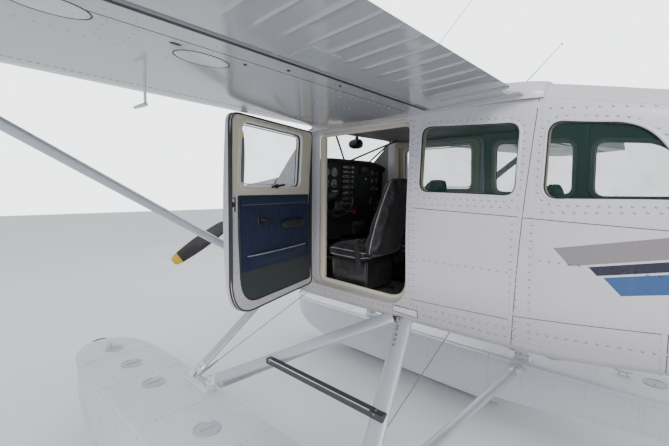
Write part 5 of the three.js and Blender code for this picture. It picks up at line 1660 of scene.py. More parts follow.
def buildFloats():
    # hulls with rails, rivets, hatches, cleats and bumpers
    bow = np.r_[-1770, -1764, -1750, np.linspace(-1725, -1450, 10), np.linspace(-1400, -600, 14),
                np.linspace(-480, 1430, 18)]
    stern = np.r_[np.linspace(1432, 4600, 34), 4644, 4650]
    hull = loft("floatLeft", [hullRing(floatRow(s), s) for s in np.r_[bow, stern]], np.radians(30))
    dressPair(hull, "floatLeftRight", "float", "float")
    rails, rivets, trims, decks, fits, rubber = Bag(), [], Bag(), Bag(), Bag(), Bag()
    centre = hulls["centre"]
    for side in (1, -1):
        # bright gunwale strip and chine strip
        for share, out, half in ((1.02, 7, 11), (0.0, 5, 8)):
            corners = np.array([(-4 * side, 0, -half), (out * side, 0, 3 - half), (out * side, 0, half - 3),
                                (-4 * side, 0, half)])
            for low, high in ((-1640, 1428), (1436, 4630)):
                line = np.linspace(low, high, 40)
                rails.tube([np.array(hullSide(s, share, side)[0]) + corners for s in line])
        # side rivets: two long rows and a double row at each frame
        for share in (0.08, 0.92):
            for s in np.arange(-1500, 4600, 62):
                rivets.append(frameOf(*hullSide(s, share, side)))
        for s in (-1250, -850, -450, -50, 350, 750, 1150, 1405, 1850, 2250, 2650, 3050, 3450, 3850, 4250):
            for off in (-14, 14):
                for share in np.linspace(0.14, 0.86, 9):
                    rivets.append(frameOf(*hullSide(s + off, share, side)))
    # deck: transverse seams with rivets, round hatches, cleats
    for s in (-1100, -500, 250, 900, 1560, 2300, 3000, 3700):
        half = floatRow(s)[0] - 40
        decks.tube([[(centre - half, s + a, 680 + b), (centre, s + a, 686 + b),
                     (centre + half, s + a, 680 + b)]
                    + [(centre + half, s + a, 670), (centre - half, s + a, 670)] for a,
                    b in ((-16, 2.5), (16, 2.5))])
        for x in np.arange(-half + 20, half - 10, 46):
            for off in (-8, 8):
                rivets.append(frameOf((centre + x, s + off, 682.5 + 6 * (1 - (x / half) ** 2)), (0, 0, 1)))
    for s, r in ((-1280, 82), (-800, 92), (-300, 92), (600, 95), (1230, 92), (1930, 92), (2700, 88),
                 (3350, 76), (4050, 55)):
        trims.tube([circle(k, z, fullTurn(28), 2, (centre, s)) for k, z in
                    ((r, 676), (r, 691), (r - 5, 694), (r - 14, 694), (r - 16, 690), (r - 22, 690),
                     (8, 691))])
        trims.tube([[(centre - r * 0.55, s + a, z),
                     (centre + r * 0.55, s + a, z)] + [(centre + r * 0.55, s + c, z),
                    (centre - r * 0.55, s + c, z)] for z, a, c in ((689, -7, 7), (697, -5, 5))])
    for s in (-1420, 1000, 2480, 4400):
        base = np.array([centre, s, 688.0])
        for off in (-28, 28):
            fits.tube(pipe(base + np.array([[0, off, -8], [0, off, 10], [0, off, 24]]), [11, 8, 9], 12,
                           up=(1, 0, 0)))
        fits.tube(pipe(base + np.array([[0, y, 28 + abs(y) * 0.05] for y in np.linspace(-78, 78, 9)]),
                       [3, 7, 8, 9, 9, 9, 8, 7, 3], 12))
        fits.tube([[(centre - 22, s + a, z), (centre + 22, s + a, z), (centre + 22, s + c, z),
                    (centre - 22, s + c, z)]
                   for z, a, c in ((680, -50, 50), (691, -46, 46))])
    # strut fittings: base plate with bolts, two lugs beside each strut foot
    fx = hulls["fitting"]
    for s0, s1 in ((-210, 170), (1645, 1805)):
        outline = roundedOutline([(fx - 50, s0, 14), (fx + 50, s0, 14), (fx + 50, s1, 14), (fx - 50, s1, 14)])
        fits.tube(slices(outline, 2, ((672, 0), (688, 0), (690, -3), (700, -12), (724, -14), (730, -18))))
        for s in (s0 + 14, s1 - 14):
            for x in (fx - 38, fx + 38):
                put(fits, hexShape(7, 7), frameOf((x, s, 689), (0, 0, 1)))
    for key in ("front", "rear"):
        top, foot = (np.array(p, float) for p in strutEnds[key][:2])
        s, lean = foot[1], unit(top - foot)
        for off in (-1, 1):
            base = np.array([fx + off * 31, s, 728.0])
            fits.tube([[base + np.array([x, y, z]) + lean * k for x, y, z, k in
                        ((-4, -44, 0, 0), (4, -44, 0, 0), (4, 44, 0, 0), (-4, 44, 0, 0))],
                       [base + np.array([x, y, z]) + lean * k for x, y, z, k in
                        ((-4, -30, 0, 58), (4, -30, 0, 58), (4, 30, 0, 58), (-4, 30, 0, 58))]])
    # rudder post, keel strips and bow bumper
    fits.tube(pipe(np.array([[centre, 4705, 500], [centre, 4705, 530.0], [centre, 4705, 559.5]]), 13.5, 16,
                   up=(1, 0, 0)))
    fits.tube([[(centre - 13, s, 506), (centre + 13, s, 506), (centre + 13, s, 554), (centre - 13, s, 554)]
               for s in (4602, 4704)])
    for low, high in ((-1560, 1428), (1434, 4620)):
        spots = np.linspace(low, high, 46)
        rings = []
        for s in spots:
            keel = float(floatRow(s)[4])
            rings.append([(centre - 15, s, max(0.2, keel)), (centre + 15, s, max(0.2, keel)),
                          (centre + 13, s, keel + 16),
                          (centre - 13, s, keel + 16)])
        rails.tube(rings)
    nose = []
    for s, k in ((-1742, 1.06), (-1764, 1.1), (-1786, 1.02), (-1800, 0.75)):
        ring = hullRing(floatRow(-1758), -1758)
        mid = np.array([centre, -1758, 590])
        ring = mid + (ring - mid) * [k, 0, k]
        ring[:, 1] = s
        nose.append(ring)
    rubber.tube(nose)
    dress(both(rubber).object("bowBumpers"), "rubber")
    dress(both(rails).object("floatRails"), "edge")
    dress(both(trims).object("deckHatches"), "silver")
    dress(both(decks).object("deckSeams"), "float")
    dress(both(fits).object("deckFittings"), "edge")
    heads = Bag().copies(*domeShape(4.6, 2.2, 5), np.array(rivets))
    dress(both(heads).object("floatRivets", None), "silver")
    # water rudders: a collar with ears and a blade plate with rounded edges
    outline = roundedOutline([(4715, 580, 10), (4760, 575, 20), (5060, 800, 60), (4960, 900, 60),
                              (4715, 640, 10)])
    blade = Bag()
    blade.tube(slices(outline, 0, [(centre + x, g) for x,
                                   g in ((-9, -5), (-7, -1), (-3, 0), (3, 0), (7, -1), (9, -5))]))
    blade.tube([circle(r, z, fullTurn(24), 2, (centre, 4705)) for r, z in
                ((20, 560.5), (24, 563), (24, 575), (19, 578), (19, 620), (24, 623), (24, 637), (20, 640))])
    for x in (-13, 9):
        ear = roundedOutline([(4722, 584, 8), (4800, 584, 18), (4800, 640, 18), (4722, 640, 8)])
        blade.tube([np.insert(ear, 0, centre + x + k, axis=1) for k in (0, 4)])
    for s, h in ((4742, 612), (4780, 600), (4782, 625)):
        for sign in (1, -1):
            put(blade, hexShape(6, 5), frameOf((centre + sign * 13, s, h), (sign, 0, 0)))
    dressPair(blade.object("waterRudderLeft"), "waterRudderRight", "silver", "water_rudder",
              True)
    print("floats made")


propeller = dict(blades=3, station=-1250, height=2000, yellowFrom=940, spinner=170, screws=18, boss=52)
# distance out, chord, thickness, pitch in degrees
bladeRows = [[60, 70, 66, 60], [190, 82, 50, 52], [330, 150, 30, 40], [620, 165, 20, 28], [900, 135, 13, 21],
             [975, 112, 11, 19.5], [1005, 84, 9, 18.5], [1015, 60, 8, 18]]


def aroundShaft(steps, sides):
    # rings about the propeller shaft: (radius, station)
    return [circle(r, s, fullTurn(sides), 1, (0, propeller["height"])) for r, s in steps]


def buildPropeller():
    # blades, spinner with its screws, and the engine behind
    plan = propeller
    spins = fullTurn(plan["blades"])
    turn = fullTurn(24)
    bag = Bag()
    outs = np.r_[np.linspace(60, 960, 30), 975, 990, 1000, 1008, 1013, 1015]
    for spin in spins:
        rings = []
        for out, (chord, thick, pitch) in zip(outs, readTable(bladeRows, outs)):
            lean = np.radians(pitch)
            along, across = np.cos(turn) * chord / 2, np.sin(turn) * thick / 2 * (1 - 0.25 * np.cos(turn))
            p = np.column_stack([along * np.cos(lean) - across * np.sin(lean),
                                 along * np.sin(lean) + across * np.cos(lean), np.full(24, out)])
            x = p[:, 0] * np.cos(spin) + p[:, 2] * np.sin(spin)
            z = -p[:, 0] * np.sin(spin) + p[:, 2] * np.cos(spin)
            rings.append(np.column_stack([x, p[:, 1] + plan["station"], z + plan["height"]]))
        bag.tube(rings)
    bag.tube(aroundShaft(((60, -1320), (74, -1312), (75, -1250), (75, -1140), (70, -1130.6)), 40))
    blades = bag.object("propellerBlades")
    dress(blades, ("black", "yellow"), "propeller", ("propeller_blades",))
    paintBy(blades, lambda centre, normal: np.where(
        np.hypot(centre[:, 0], centre[:, 2] - plan["height"]) > plan["yellowFrom"], 1, 0))
    profile = [[0, -1400], [50, -1385], [95, -1345], [135, -1290], [160, -1220], [170, -1140]]
    s = np.linspace(0, 1, 26)
    curve = readTable([[k, *p] for k, p in enumerate(profile)], s * 5)
    outer = [(max(r, 0.6), z) for r, z in curve]
    walls = outer + [(170, -1112), (166, -1110), (170, -1107), (170, -1090), (90, -1090), (90, -1130),
                     (75.5, -1130), (75.5, -1300)]
    shell = loft("spinnerShell", aroundShaft(walls, 64))
    start = np.array([0, plan["station"], plan["height"]], float)
    cutters = []
    for spin in spins:
        path = start + np.outer([60, 140, 240], [np.sin(spin), 0, np.cos(spin)])
        cutters.append(loft("cutter", pipe(path, plan["boss"], 28, up=(0, 1, 0)), None))
    cut(shell, cutters)
    dress(shell, "white", "propeller", ("spinner",))
    screws = Bag()
    for k in range(plan["screws"]):
        a = 2 * np.pi * (k + 0.5) / plan["screws"]
        n = np.array([np.cos(a), 0, np.sin(a)])
        put(screws, domeShape(5, 2, 8), frameOf(np.array([0, -1099, plan["height"]]) + n * plan["spinner"], n,
                                                (0, 1, 0)))
    dress(screws.object("spinnerScrews"), "steel", "propeller")
    # engine: the block with cylinders and fins, seen through the inlets
    engine = Bag()
    outline = roundedOutline([(-180, 1800, 30), (180, 1800, 30), (180, 2090, 30), (-180, 2090, 30)])
    engine.tube([np.insert(outline, 1, s, axis=1) for s in (-800, -222)])
    for side in (1, -1):
        for s in (-700, -510, -320):
            for k, out in enumerate(np.linspace(182, 296, 13)):
                r = 84 if k % 2 == 0 else 72
                engine.tube([circle(r, side * (out + w), fullTurn(20), 0, (s, 1950)) for w in (-3.4, 3.4)])
    engine.tube(aroundShaft(((110, -800), (110, -900), (100, -960), (50, -962), (45, -1128)), 32))
    for x in (-250, 250):
        for h in (1830, 2060):
            engine.tube(pipe(np.array([[x, -300, h], [x, -150, h], [x, -15.4, h]], float), 17.5, 12))
            side = np.sign(x)
            engine.tube(pipe(np.array([[side * 170, -290, h], [side * 215, -290, h], [x + side * 8, -290, h]],
                                      float), 20, 12))
    dress(engine.object("engineCase"), "cast", replaces=("engine_block",))
    wall = frame["nodes"]["firewall"]
    for look in wall.material_slots:
        look.material = finish["bare"]
    print("propeller and engine made")


buildStruts()
buildFloats()
buildPropeller()

# Doors, openings, window rubbers and skin rivets


def shifted(obj, rule):
    # moves a mesh by a rule on its places in millimetres
    co = (placesOf(obj.data) + [0, origin, 0]) * 1000
    obj.data.vertices.foreach_set("co", place(rule(co)).ravel())
    obj.data.update()
    return obj


def swing(p):
    # the port door turned open about its hinge
    turn = np.radians(hinge["open"])
    dx, ds = p[:, 0] - hinge["x"], p[:, 1] - hinge["station"]
    return np.column_stack([hinge["x"] + dx * np.cos(turn) + ds * np.sin(turn),
                            hinge["station"] - dx * np.sin(turn) + ds * np.cos(turn), p[:, 2]])


def doorPair(obj, look, stem=""):
    # the starboard copy stays shut, the port piece swings with the open door
    other = twin(obj, obj.name + "Starboard")
    shifted(obj, swing)
    for side, piece in (("left", obj), ("right", other)):
        dress(piece, look, f"front_door_{side}", (f"{stem}_{side}",) if stem else ())


def sheet(name, stations, heights, near, far):
    # a sheet that follows the side skin between two depths; a depth is a number or a rule on (s, h)
    s, h = np.meshgrid(stations, heights, indexing="ij")
    x = halfWidth(bodyRows, s, h)
    a = near(s, h) if callable(near) else near
    b = far(s, h) if callable(far) else far
    outer, inner = np.stack([x - a, s, h], -1), np.stack([x - b, s, h], -1)
    return loft(name, np.concatenate([outer, inner[:, ::-1]], 1))


def trimmed(obj, outline, holes=(), soften=0.0, reach=(200, 800)):
    # cut to an outline, with openings, and its folds taken off
    cut(obj, [prism(outline, 0, *reach)], "INTERSECT")
    cut(obj, [prism(h, 0, *reach) for h in holes])
    if soften:
        edge = obj.modifiers.new("edge", "BEVEL")
        edge.width, edge.segments = soften / 1000, 3
        edge.limit_method, edge.angle_limit = "ANGLE", np.radians(55)
        applyModifiers(obj)
        obj.data.shade_smooth()
        obj.data.set_sharp_from_angle(angle=angleSharp)
    return obj


def ringOn(outline, section, inner=None):
    # a section carried round an outline; its points are (offset, depth)
    # the offset is mm outwards, or the share of the way to an inner outline
    way = outwards(outline) if inner is None else inner - outline
    rings = []
    for off, depth in section:
        q = outline + way * off
        rings.append(np.column_stack([halfWidth(bodyRows, q[:, 0], q[:, 1]) - depth, q]))
    return np.stack(rings, 1)


def ovalSection(width, height, depth, count=10):
    # (across, depth) of an ellipse about a depth
    turn = fullTurn(count)
    return np.column_stack([np.cos(turn) * width / 2, depth + np.sin(turn) * height / 2])


def boxShape(a, b, c, soft=1.5):
    # a block centred on its frame's origin and standing on it, its edges taken off
    a, b = a / 2, b / 2
    plan = lambda g: np.array([(a - g - soft, b - g), (a - g, b - g - soft), (a - g, -b + g + soft),
                               (a - g - soft, -b + g),
                               (-a + g + soft, -b + g), (-a + g, -b + g + soft), (-a + g, b - g - soft),
                               (-a + g + soft, b - g)])
    return tube([np.insert(plan(g), 2, z, axis=1) for g, z in ((0, 0), (0, c - soft), (soft, c))])


def turned(profile, sides=20):
    # a turned part about its third axis, from (radius, height) pairs
    return tube([circle(r, z, fullTurn(sides)) for r, z in profile])


def hingeStraps(onDoor):
    # two strap hinges: pin barrel, strap and bolted foot on the skin
    bag = Bag()
    way = 1 if onDoor else -1
    x, s0 = hinge["x"], hinge["station"]
    for h in (1700, 2560):
        base = h + (0.3 if onDoor else -20.3)
        mid = base + 10
        bag.tube(pipe(np.array([[x, s0, base], [x, s0, mid], [x, s0, base + 20]], float), 8, 16,
                      up=(1, 0, 0)))
        put(bag, boxShape(20, 44, 9, 2), frameOf((x - 9, s0 + way * 23, mid), (1, 0, 0)))
        for s in (12, 27, 40):
            skin = float(halfWidth(bodyRows, s0 + way * s, mid))
            if s > 12:
                put(bag, boxShape(20, 10, max(3, x - 9 - skin), 1),
                    frameOf((skin - 1, s0 + way * s, mid), (1, 0, 0)))
                put(bag, hexShape(4, 4), frameOf((x, s0 + way * s, mid), (1, 0, 0)))
    return bag


def edgeRivets(outline, pitch, closed=True):
    # rivet frames on the side skin along an outline
    spots = (closedRow if closed else rowPoints)(outline, pitch)[:-1]
    return skinFrames(bodyRows, spots[:, 0], spots[:, 1])


def buildDoors():
    # both front doors: skins, frames, windows, linings, handles and hinges
    stations = np.r_[np.linspace(606, 700, 10), np.linspace(725, 1500, 32), np.linspace(1510, 1556, 6)]
    wall = loft("frontDoorLeaf", wallRings(bodyRows, stations, lambda s: np.full_like(s, 1510.0),
                                           lambda s: np.full_like(s, 2762.0), 40, 46))
    trimmed(wall, doorOutline(-0.5), [doorWindow(0)], 2.0)
    inWindow = lambda c: (abs(c[:, 1] - 1113) < 360) & (abs(c[:, 2] - 2503) < 205)
    paintBy(wall, lambda centre, normal: np.where((normal[:, 0] < -0.4) & (centre[:, 2] > 2270), 1,
                                                  np.where((abs(normal[:, 0]) < 0.35) & ~inWindow(centre), 2,
                                                           0)))
    doorPair(wall, ("white", "cream", "rubber"), "front_door")
    pane = paneFor("doorPane", doorWindow(-1))
    doorPair(pane, "glass", "front_door_glass")
    # moulding round the window, in two steps, with a lip at the glass
    upper = roundedOutline([(628, 2262, 8), (1530, 2262, 8), (1530, 2724, 62), (628, 2727, 46)])
    moulding = sheet("doorMoulding", np.linspace(620, 1540, 40), np.linspace(2255, 2732, 26), 38, 47)
    trimmed(moulding, upper, [doorWindow(3)], 3.5)
    doorPair(moulding, "cream")
    trim = Bag()
    trim.tube(ringOn(doorWindow(14), ovalSection(22, 13, 46)), True)
    doorPair(trim.object("doorWindowLip"), "cream")
    # black rubbers: glass channel inside and out, and the seal round the leaf
    seal = Bag()
    seal.tube(ringOn(doorWindow(0), ovalSection(4, 14, 26)), True)
    seal.tube(ringOn(doorWindow(0), ovalSection(7, 9, 2)), True)
    seal.tube(ringOn(doorOutline(-6.5), ovalSection(14, 36, 28)), True)
    panelEdge = roundedOutline([(646, 1606, 40), (1462, 1600, 150), (1462, 2252, 6), (646, 2252, 6)])
    seal.tube(ringOn(panelEdge, ovalSection(12, 12, 42)), True)
    doorPair(seal.object("doorRubber"), "rubber")
    # a thin bright frame of the opening pane and its catch
    light = Bag()
    light.tube(ringOn(doorWindow(-16), [(-4, 17), (4, 17), (4, 26), (-4, 26)]), True)
    light.tube(ringOn(doorWindow(2), ovalSection(11, 12, 44)), True)
    doorPair(light.object("paneFrame"), "dialWhite")
    # quilted cloth panel: a soft roll along its top, flutes below, a plain band under the pocket line
    rise = lambda t: t * t * (3 - 2 * t)
    stations = np.linspace(644, 1462, 121)
    heights = np.r_[np.linspace(1786, 1880, 8), np.linspace(1890, 2196, 16), np.linspace(2202, 2256, 12)]

    def quilt(s, h):
        # depth of the padding: flutes 34.1 mm apart between two flat edges, a roll on top
        roll = np.clip((h - 2198) / 58, 0, 1)
        soft = 12 * np.sqrt(np.clip(1 - (2 * roll - 1) ** 2, 0, 1)) * (h > 2198)
        zone = rise(np.clip((h - 1892) / 26, 0, 1)) * rise(np.clip((2194 - h) / 26, 0, 1))
        flute = 7 * np.abs(np.sin(np.pi * (s - 644) / 34.1)) ** 0.7 * zone
        ends = np.clip(np.minimum(s - 644, 1462 - s) / 10, 0, 1) ** 0.5
        return 41 + (3 + soft + flute) * ends
    quiltPanel = sheet("doorQuilt", stations, heights, 39, quilt)
    doorPair(quiltPanel, "navy")
    lower = roundedOutline([(646, 1606, 40), (1462, 1600, 150), (1462, 1790, 6), (646, 1790, 6)])
    kick = sheet("doorKickPanel", np.linspace(640, 1470, 40), np.linspace(1590, 1795, 14), 39, 45)
    trimmed(kick, lower, (), 2)
    doorPair(kick, "kick")
    # map pocket: a slack sheet with a piped rim, standing off the panel
    bulge = lambda s, h: 46 + 17 * np.clip(np.sin(np.pi * (s - 690) / 700), 0,
                                           1) ** 0.5 * rise(np.clip((h - 1792) / 60, 0, 1))
    pocket = sheet("doorPocket", np.linspace(690, 1390, 44), np.linspace(1794, 1880, 10),
                   lambda s, h: bulge(s, h) - 2.5, bulge)
    doorPair(pocket, "navy")
    rim = Bag()
    spots = np.linspace(690, 1390, 40)
    x = halfWidth(bodyRows, spots, np.full(40, 1881.0)) - bulge(spots, np.full(40, 1881.0))
    rim.tube(pipe(np.column_stack([x, spots, np.full(40, 1881.0)]), 3.4, 8))
    h = 2200
    for s in np.arange(700, 1440, 34.1):
        x = float(halfWidth(bodyRows, s, h)) - 45
        rim.tube(pipe(np.array([[x, s - 10, h], [x - 2, s, h], [x, s + 10, h]]), 2.4, 6))
    doorPair(rim.object("doorPiping"), "piping")
    # armrest, inside handle, catches and screws
    arm = Bag()
    s = np.linspace(746, 1030, 22)
    end = np.sqrt(np.clip(1 - ((s - 888) / 146) ** 8, 0.03, 1))
    turn = fullTurn(14)
    base = halfWidth(bodyRows, s, np.full(22, 2052.0)) - 44
    arm.tube([np.column_stack([b - 20 + 24 * k * np.cos(turn), np.full(14, v), 2052 + 30 * k * np.sin(turn)])
              for b, v, k in zip(base, s, end)])
    doorPair(arm.object("doorArmrest"), "trim")
    dark, bright = Bag(), Bag()
    skin = lambda s, h, depth: np.array([float(halfWidth(bodyRows, s, h)) - depth, s, h])
    inward = np.array([-1.0, 0, 0])
    # window catch: a small turned foot with a lever
    at = skin(1080, 2318, 50)
    put(dark, turned([(17, 0), (17, 5), (12, 8), (9, 16), (0.5, 17)], 16), frameOf(at, inward))
    put(dark, boxShape(16, 150, 13, 5), frameOf(at + [-12, 0, 3], inward, (0, 0.1, 1)))
    # inside door handle in a shallow dish, and the edge bolt with its plate
    at = skin(1240, 2100, 46)
    put(dark, turned([(46, 0), (46, 3), (40, 6), (30, 3.5), (0.5, 3)], 24), frameOf(at, inward))
    dark.tube(pipe(np.array([at + [-6, 0, 0], at + [-22, -4, 0], at + [-26, -40, -6], at + [-24, -92, -10]]),
                   [8, 8, 8, 6], 10))
    put(dark, turned([(17, 0), (17, 3), (11, 4), (9, 13), (7, 17), (0.5, 18)], 16),
        frameOf(skin(1514, 2205, 40), inward))
    put(bright, boxShape(90, 26, 2.5, 1), frameOf(skin(1498, 2205, 40), inward))
    put(bright, turned([(9, 0), (9, 9), (6, 12), (0.5, 12)], 14),
        frameOf((skin(1548, 2205, 20)) - [0, 10, 0], (0, 1, 0)))
    # the bright band's fasteners, and screws round the kick panel and the moulding
    band = roundedOutline([(640, 1572, 50), (1500, 1566, 165), (1500, 2250, 6), (640, 2250, 6)])
    for v, w in rowPoints(band, 62):
        if w < 2235 and v > 660:
            put(bright, turned([(5, 0), (4.4, 2), (0.5, 2.6)], 8), frameOf(skin(v, w, 40), inward))
    for v, w in closedRow(upper, 150):
        mid = np.array([v, w]) + (np.array([1080, 2500]) - [v, w]) * 0.03
        put(bright, turned([(4.4, 0), (3.8, 1.8), (0.5, 2.2)], 8), frameOf(skin(*mid, 47.5), inward))
    # outside: flush handle with its paddle, key lock and rivets
    at = skin(1432, 2120, 0)
    put(bright, boxShape(58, 150, 4, 2), frameOf(at + [-1, 0, 0], (1, 0, 0.02)))
    put(bright, turned([(11, 0), (11, 5), (9, 6), (0.5, 6)], 16), frameOf(skin(1470, 2035, 0.5), (1, 0, 0)))
    put(dark, boxShape(40, 112, 5, 2), frameOf(at + [1.2, -4, 0], (1, 0, 0.02)))
    doorPair(dark.object("doorCatches"), "black")
    heads = Bag().copies(*domeShape(3.6, 1.5), np.array(
        edgeRivets(doorOutline(-22), 46) + edgeRivets(doorWindow(22), 44)))
    doorPair(heads.object("doorRivets", None), "white")
    straps = hingeStraps(True)
    bright.add(np.vstack(straps.verts), straps.faces)
    doorPair(bright.object("doorMetal"), "bare")
    fixed = hingeStraps(False)
    dress(both(fixed).object("wallHinges"), "bare")
    print("doors made")


def buildOpenings():
    # rebate flange round each door opening, its soft inner trim, sill plate and rubbers
    outer = roundedOutline([(602, 1542, 64), (1558, 1525, 190), (1558, 2748, 72), (602, 2753, 52)])
    inner = roundedOutline([(682, 1566, 60), (1532, 1552, 170), (1532, 2732, 62), (682, 2737, 50)])
    flange, trim, black, plate = Bag(), Bag(), Bag(), Bag()
    flange.tube(ringOn(outer, [(-0.02, 40.5), (-0.10, 40.5), (-0.10, 60), (1, 60), (1, 57), (-0.02, 57)],
                       inner=inner), True)
    front = np.clip((760 - inner[:, 0]) / 70, 0, 1)
    turn = fullTurn(16)
    wide, deep = 15 + 14 * front, 13 + 14 * front
    out = outwards(inner)[:, None]
    q = inner[:, None] - out * ((wide - 8)[:, None, None] + wide[:, None, None] * np.cos(turn)[None, :, None])
    depth = (60 + deep)[:, None] + deep[:, None] * np.sin(turn)[None] - 6
    x = halfWidth(bodyRows, q[..., 0], q[..., 1]) - depth
    trim.tube(np.concatenate([x[..., None], q], -1), True)
    dress(both(flange).object("openingFlange"), "white")
    dress(both(trim).object("openingTrim"), "cream")
    # sill: ribbed tread plate with screws
    for s in np.arange(720, 1500, 18):
        x = float(halfWidth(bodyRows, s, 1545.0))
        put(plate, boxShape(52, 7, 2.5, 1), frameOf((x - 92, s, 1500.4), (0, 0, 1), (1, 0, 0)))
    put(plate, boxShape(70, 830, 1.6, 0.5), frameOf((float(halfWidth(bodyRows, 1100, 1545.0)) - 92, 1108,
                                                     1500.2), (0, 0, 1), (1, 0, 0)))
    dress(both(plate).object("sillPlate"), "bare")
    # window rubbers outside and pale reveals inside
    for outline in (middleWindow, rearWindow):
        black.tube(ringOn(outline(-1), ovalSection(7, 12, 4)), True)
        lip = Bag().tube(ringOn(outline(9), ovalSection(13, 7, 0.5)), True)
        dress(both(lip).object("lip" + outline.__name__), "white")
        section = [(-6, 38), (20, 38), (20, 44), (14, 48), (0, 48), (-8, 44)]
        reveal = Bag().tube(ringOn(outline(6), section), True)
        dress(both(reveal).object("reveal" + outline.__name__), "cream")
    # windshield edges: black strips along all four sides
    w = windshieldSkin
    for line, r in ((w[0], 7), (w[-1], 8), (w[:, 0], 9), (w[:, -1], 9)):
        black.tube(pipe(line + [0, -1, 0], r, 10))
    dress(mirrorSafe(black).object("windowRubbers"), "rubber")
    print("openings made")


def mirrorSafe(bag):
    # shapes made for the port side, with copies to starboard where they lie off the centreline
    keep = Bag()
    start = 0
    for verts in bag.verts:
        stop = start + len(verts)
        faces = [tuple(i - start for i in f) for f in bag.faces if start <= f[0] < stop]
        keep.add(verts, faces)
        if verts[:, 0].min() > 50:
            keep.add(verts * [-1, 1, 1], [f[::-1] for f in faces])
        start = stop
    return keep


def skinStrip(bag, s, h, section, upright=False):
    # a strip laid on both sides of the body along (s, h): corners as (out, across)
    for side in (1, -1):
        ring = []
        for out, across in section:
            at, height = (s + across, h) if upright else (s, h + across)
            ring.append(np.column_stack([side * (halfWidth(bodyRows, at, height) + out), at + 0 * h,
                                         height + 0 * s]))
        bag.tube(np.stack(ring, 1))


def buildSkinRivets():
    # rows read along the photo, on both sides: (first and last height, first and last station, pitch)
    places, nose = [], []
    row = lambda s, h: skinFrames(bodyRows, s, h)
    for h0, h1, s0, s1, pitch in ((2710, 2640, 2345, 3190, 50), (2216, 2216, 1600, 2250, 45),
                                  (2197, 2224, 2345, 3190, 45), (2172, 2131, 2345, 3190, 47),
                                  (2228, 2236, 20, 560, 45), (1956, 1925, 2345, 3190, 42),
                                  (1657, 1720, 2345, 3190, 46),
                                  (1568, 1602, 2345, 3190, 42), (1560, 1560, 1590, 2250, 45),
                                  (1512, 1512, 20, 2250, 45),
                                  (1872, 1872, 1600, 2250, 45), (1872, 1872, 30, 585, 45)):
        s = np.arange(s0, s1, pitch)
        places += row(s, h0 + (h1 - h0) * (s - s0) / (s1 - s0))
    for s0 in (30, 300, 575, 1585, 1612, 2205, 2234, 2300, 2831, 3170):
        low, high = 1530, {575: 2740, 2831: 1660}.get(s0, 2190)
        h = np.arange(1480 if s0 == 2831 else low, high, 40)
        places += row(np.full(len(h), s0), h)
        if s0 == 1585:
            h = np.arange(2262, 2740, 36)
            places += row(np.full(len(h), s0), h)
    for outline in (middleWindow(30), rearWindow(30)):
        places += edgeRivets(outline, 40)
    places += edgeRivets(doorOutline(30)[:33], 44, False)
    for s0 in (3215, 3560, 3930, 4330, 4740, 5160, 5580, 5990):
        low, high = readTable(bodyRows, s0)[0][[3, 5]]
        h = np.arange(low + 60, high - 60, 42)
        places += row(np.full(len(h), s0), h) + row(np.full(len(h), s0 + 26), h)
    for share in (0.22, 0.5, 0.78):
        s = np.arange(3260, 6400, 46)
        r = readTable(bodyRows, s)
        places += row(s, r[:, 3] + (r[:, 5] - r[:, 3]) * share)
    places = np.array(places)
    heads = Bag().copies(*domeShape(6.2, 3.6), places)
    dress(both(heads).object("skinRivets", None), "flank")
    # dark discs set 1.6 mm low under the rivet heads: a painted shadow, a dark crescent below each rivet
    places[:, 2, 3] -= 1.6
    dress(both(Bag().copies(*discShape(6.9, 0.3), places)).object("rivetShade", None), "joint")
    # laps: the overlapping edge of each sheet, with a dark strip beside it as the painted shadow of that edge
    laps, joints = Bag(), Bag()
    for s0, s1, h0, h1 in ((1600, 2249, 2190, 2166), (2254, 3205, 2164, 2119), (1590, 2217, 1600, 1612),
                           (2222, 3205, 1636, 1708)):
        s = np.linspace(s0, s1, 30)
        h = h0 + (h1 - h0) * (s - s0) / (s1 - s0)
        skinStrip(laps, s, h, ((-1.5, 22), (0.9, 21), (1.1, 0), (-1.5, 0)))
        skinStrip(joints, s, h, ((-1.5, 0), (0.5, 0), (0.5, -4), (-1.5, -4)))
    for s0, low, high, lean in ((2274, 1470, 2850, 0.06), (3208, 1560, 2670, 0), (598, 2230, 2745, 0),
                                (2846, 1500, 1680, 0)):
        h = np.linspace(low, high, 30)
        s = s0 + lean * (h - 2540)
        skinStrip(laps, s, h, ((-1.5, -22), (0.9, -21), (1.1, 0), (-1.5, 0)), True)
        skinStrip(joints, s, h, ((-1.5, 0), (0.5, 0), (0.5, 4), (-1.5, 4)), True)
    dress(laps.object("skinLaps"), "flank")
    dress(joints.object("skinLapShadows"), "joint")
    # quarter-turn studs round the cowling and its split line
    for side in (1, -1):
        for h in np.arange(1560, 2340, 62):
            nose += skinFrames(noseRows, [-26], [h], side)
        for s in np.arange(-960, -40, 84):
            nose += skinFrames(noseRows, [s], [2010 + 0.06 * (s + 900)], side)
    studs = Bag().copies(*domeShape(8.5, 2.4, 10), np.array(nose))
    dress(studs.object("cowlStuds", None), "steel")
    split = Bag()
    s = np.linspace(-1000, -30, 30)
    for side in (1, -1):
        h = 2026 + 0.06 * (s + 900)
        x = halfWidth(noseRows, s, h)
        split.tube(np.stack([np.column_stack([side * (x + k), s, h + v]) for k,
                             v in ((-2, -3), (0.6, -2.5), (0.6, 2.5), (-2, 3))], 1))
    dress(split.object("cowlSplit"), "trim")
    print("rivets made")


buildDoors()
buildOpenings()
buildSkinRivets()
buildOutside()

# Inside the cabin: panel and controls, then the seats

panelPlane = dict(low=1850, high=2524, aftLow=505, aftHigh=525)


def onPanel(x, h, off=0.0, along=(0, 0, 1)):
    # a frame on the sloping face of the panel at (x, height), off mm aft of it
    p = panelPlane
    s = p["aftLow"] + (p["aftHigh"] - p["aftLow"]) * (h - p["low"]) / (p["high"] - p["low"])
    return frameOf((x, s + off, h), (0, 1, -0.03), along)


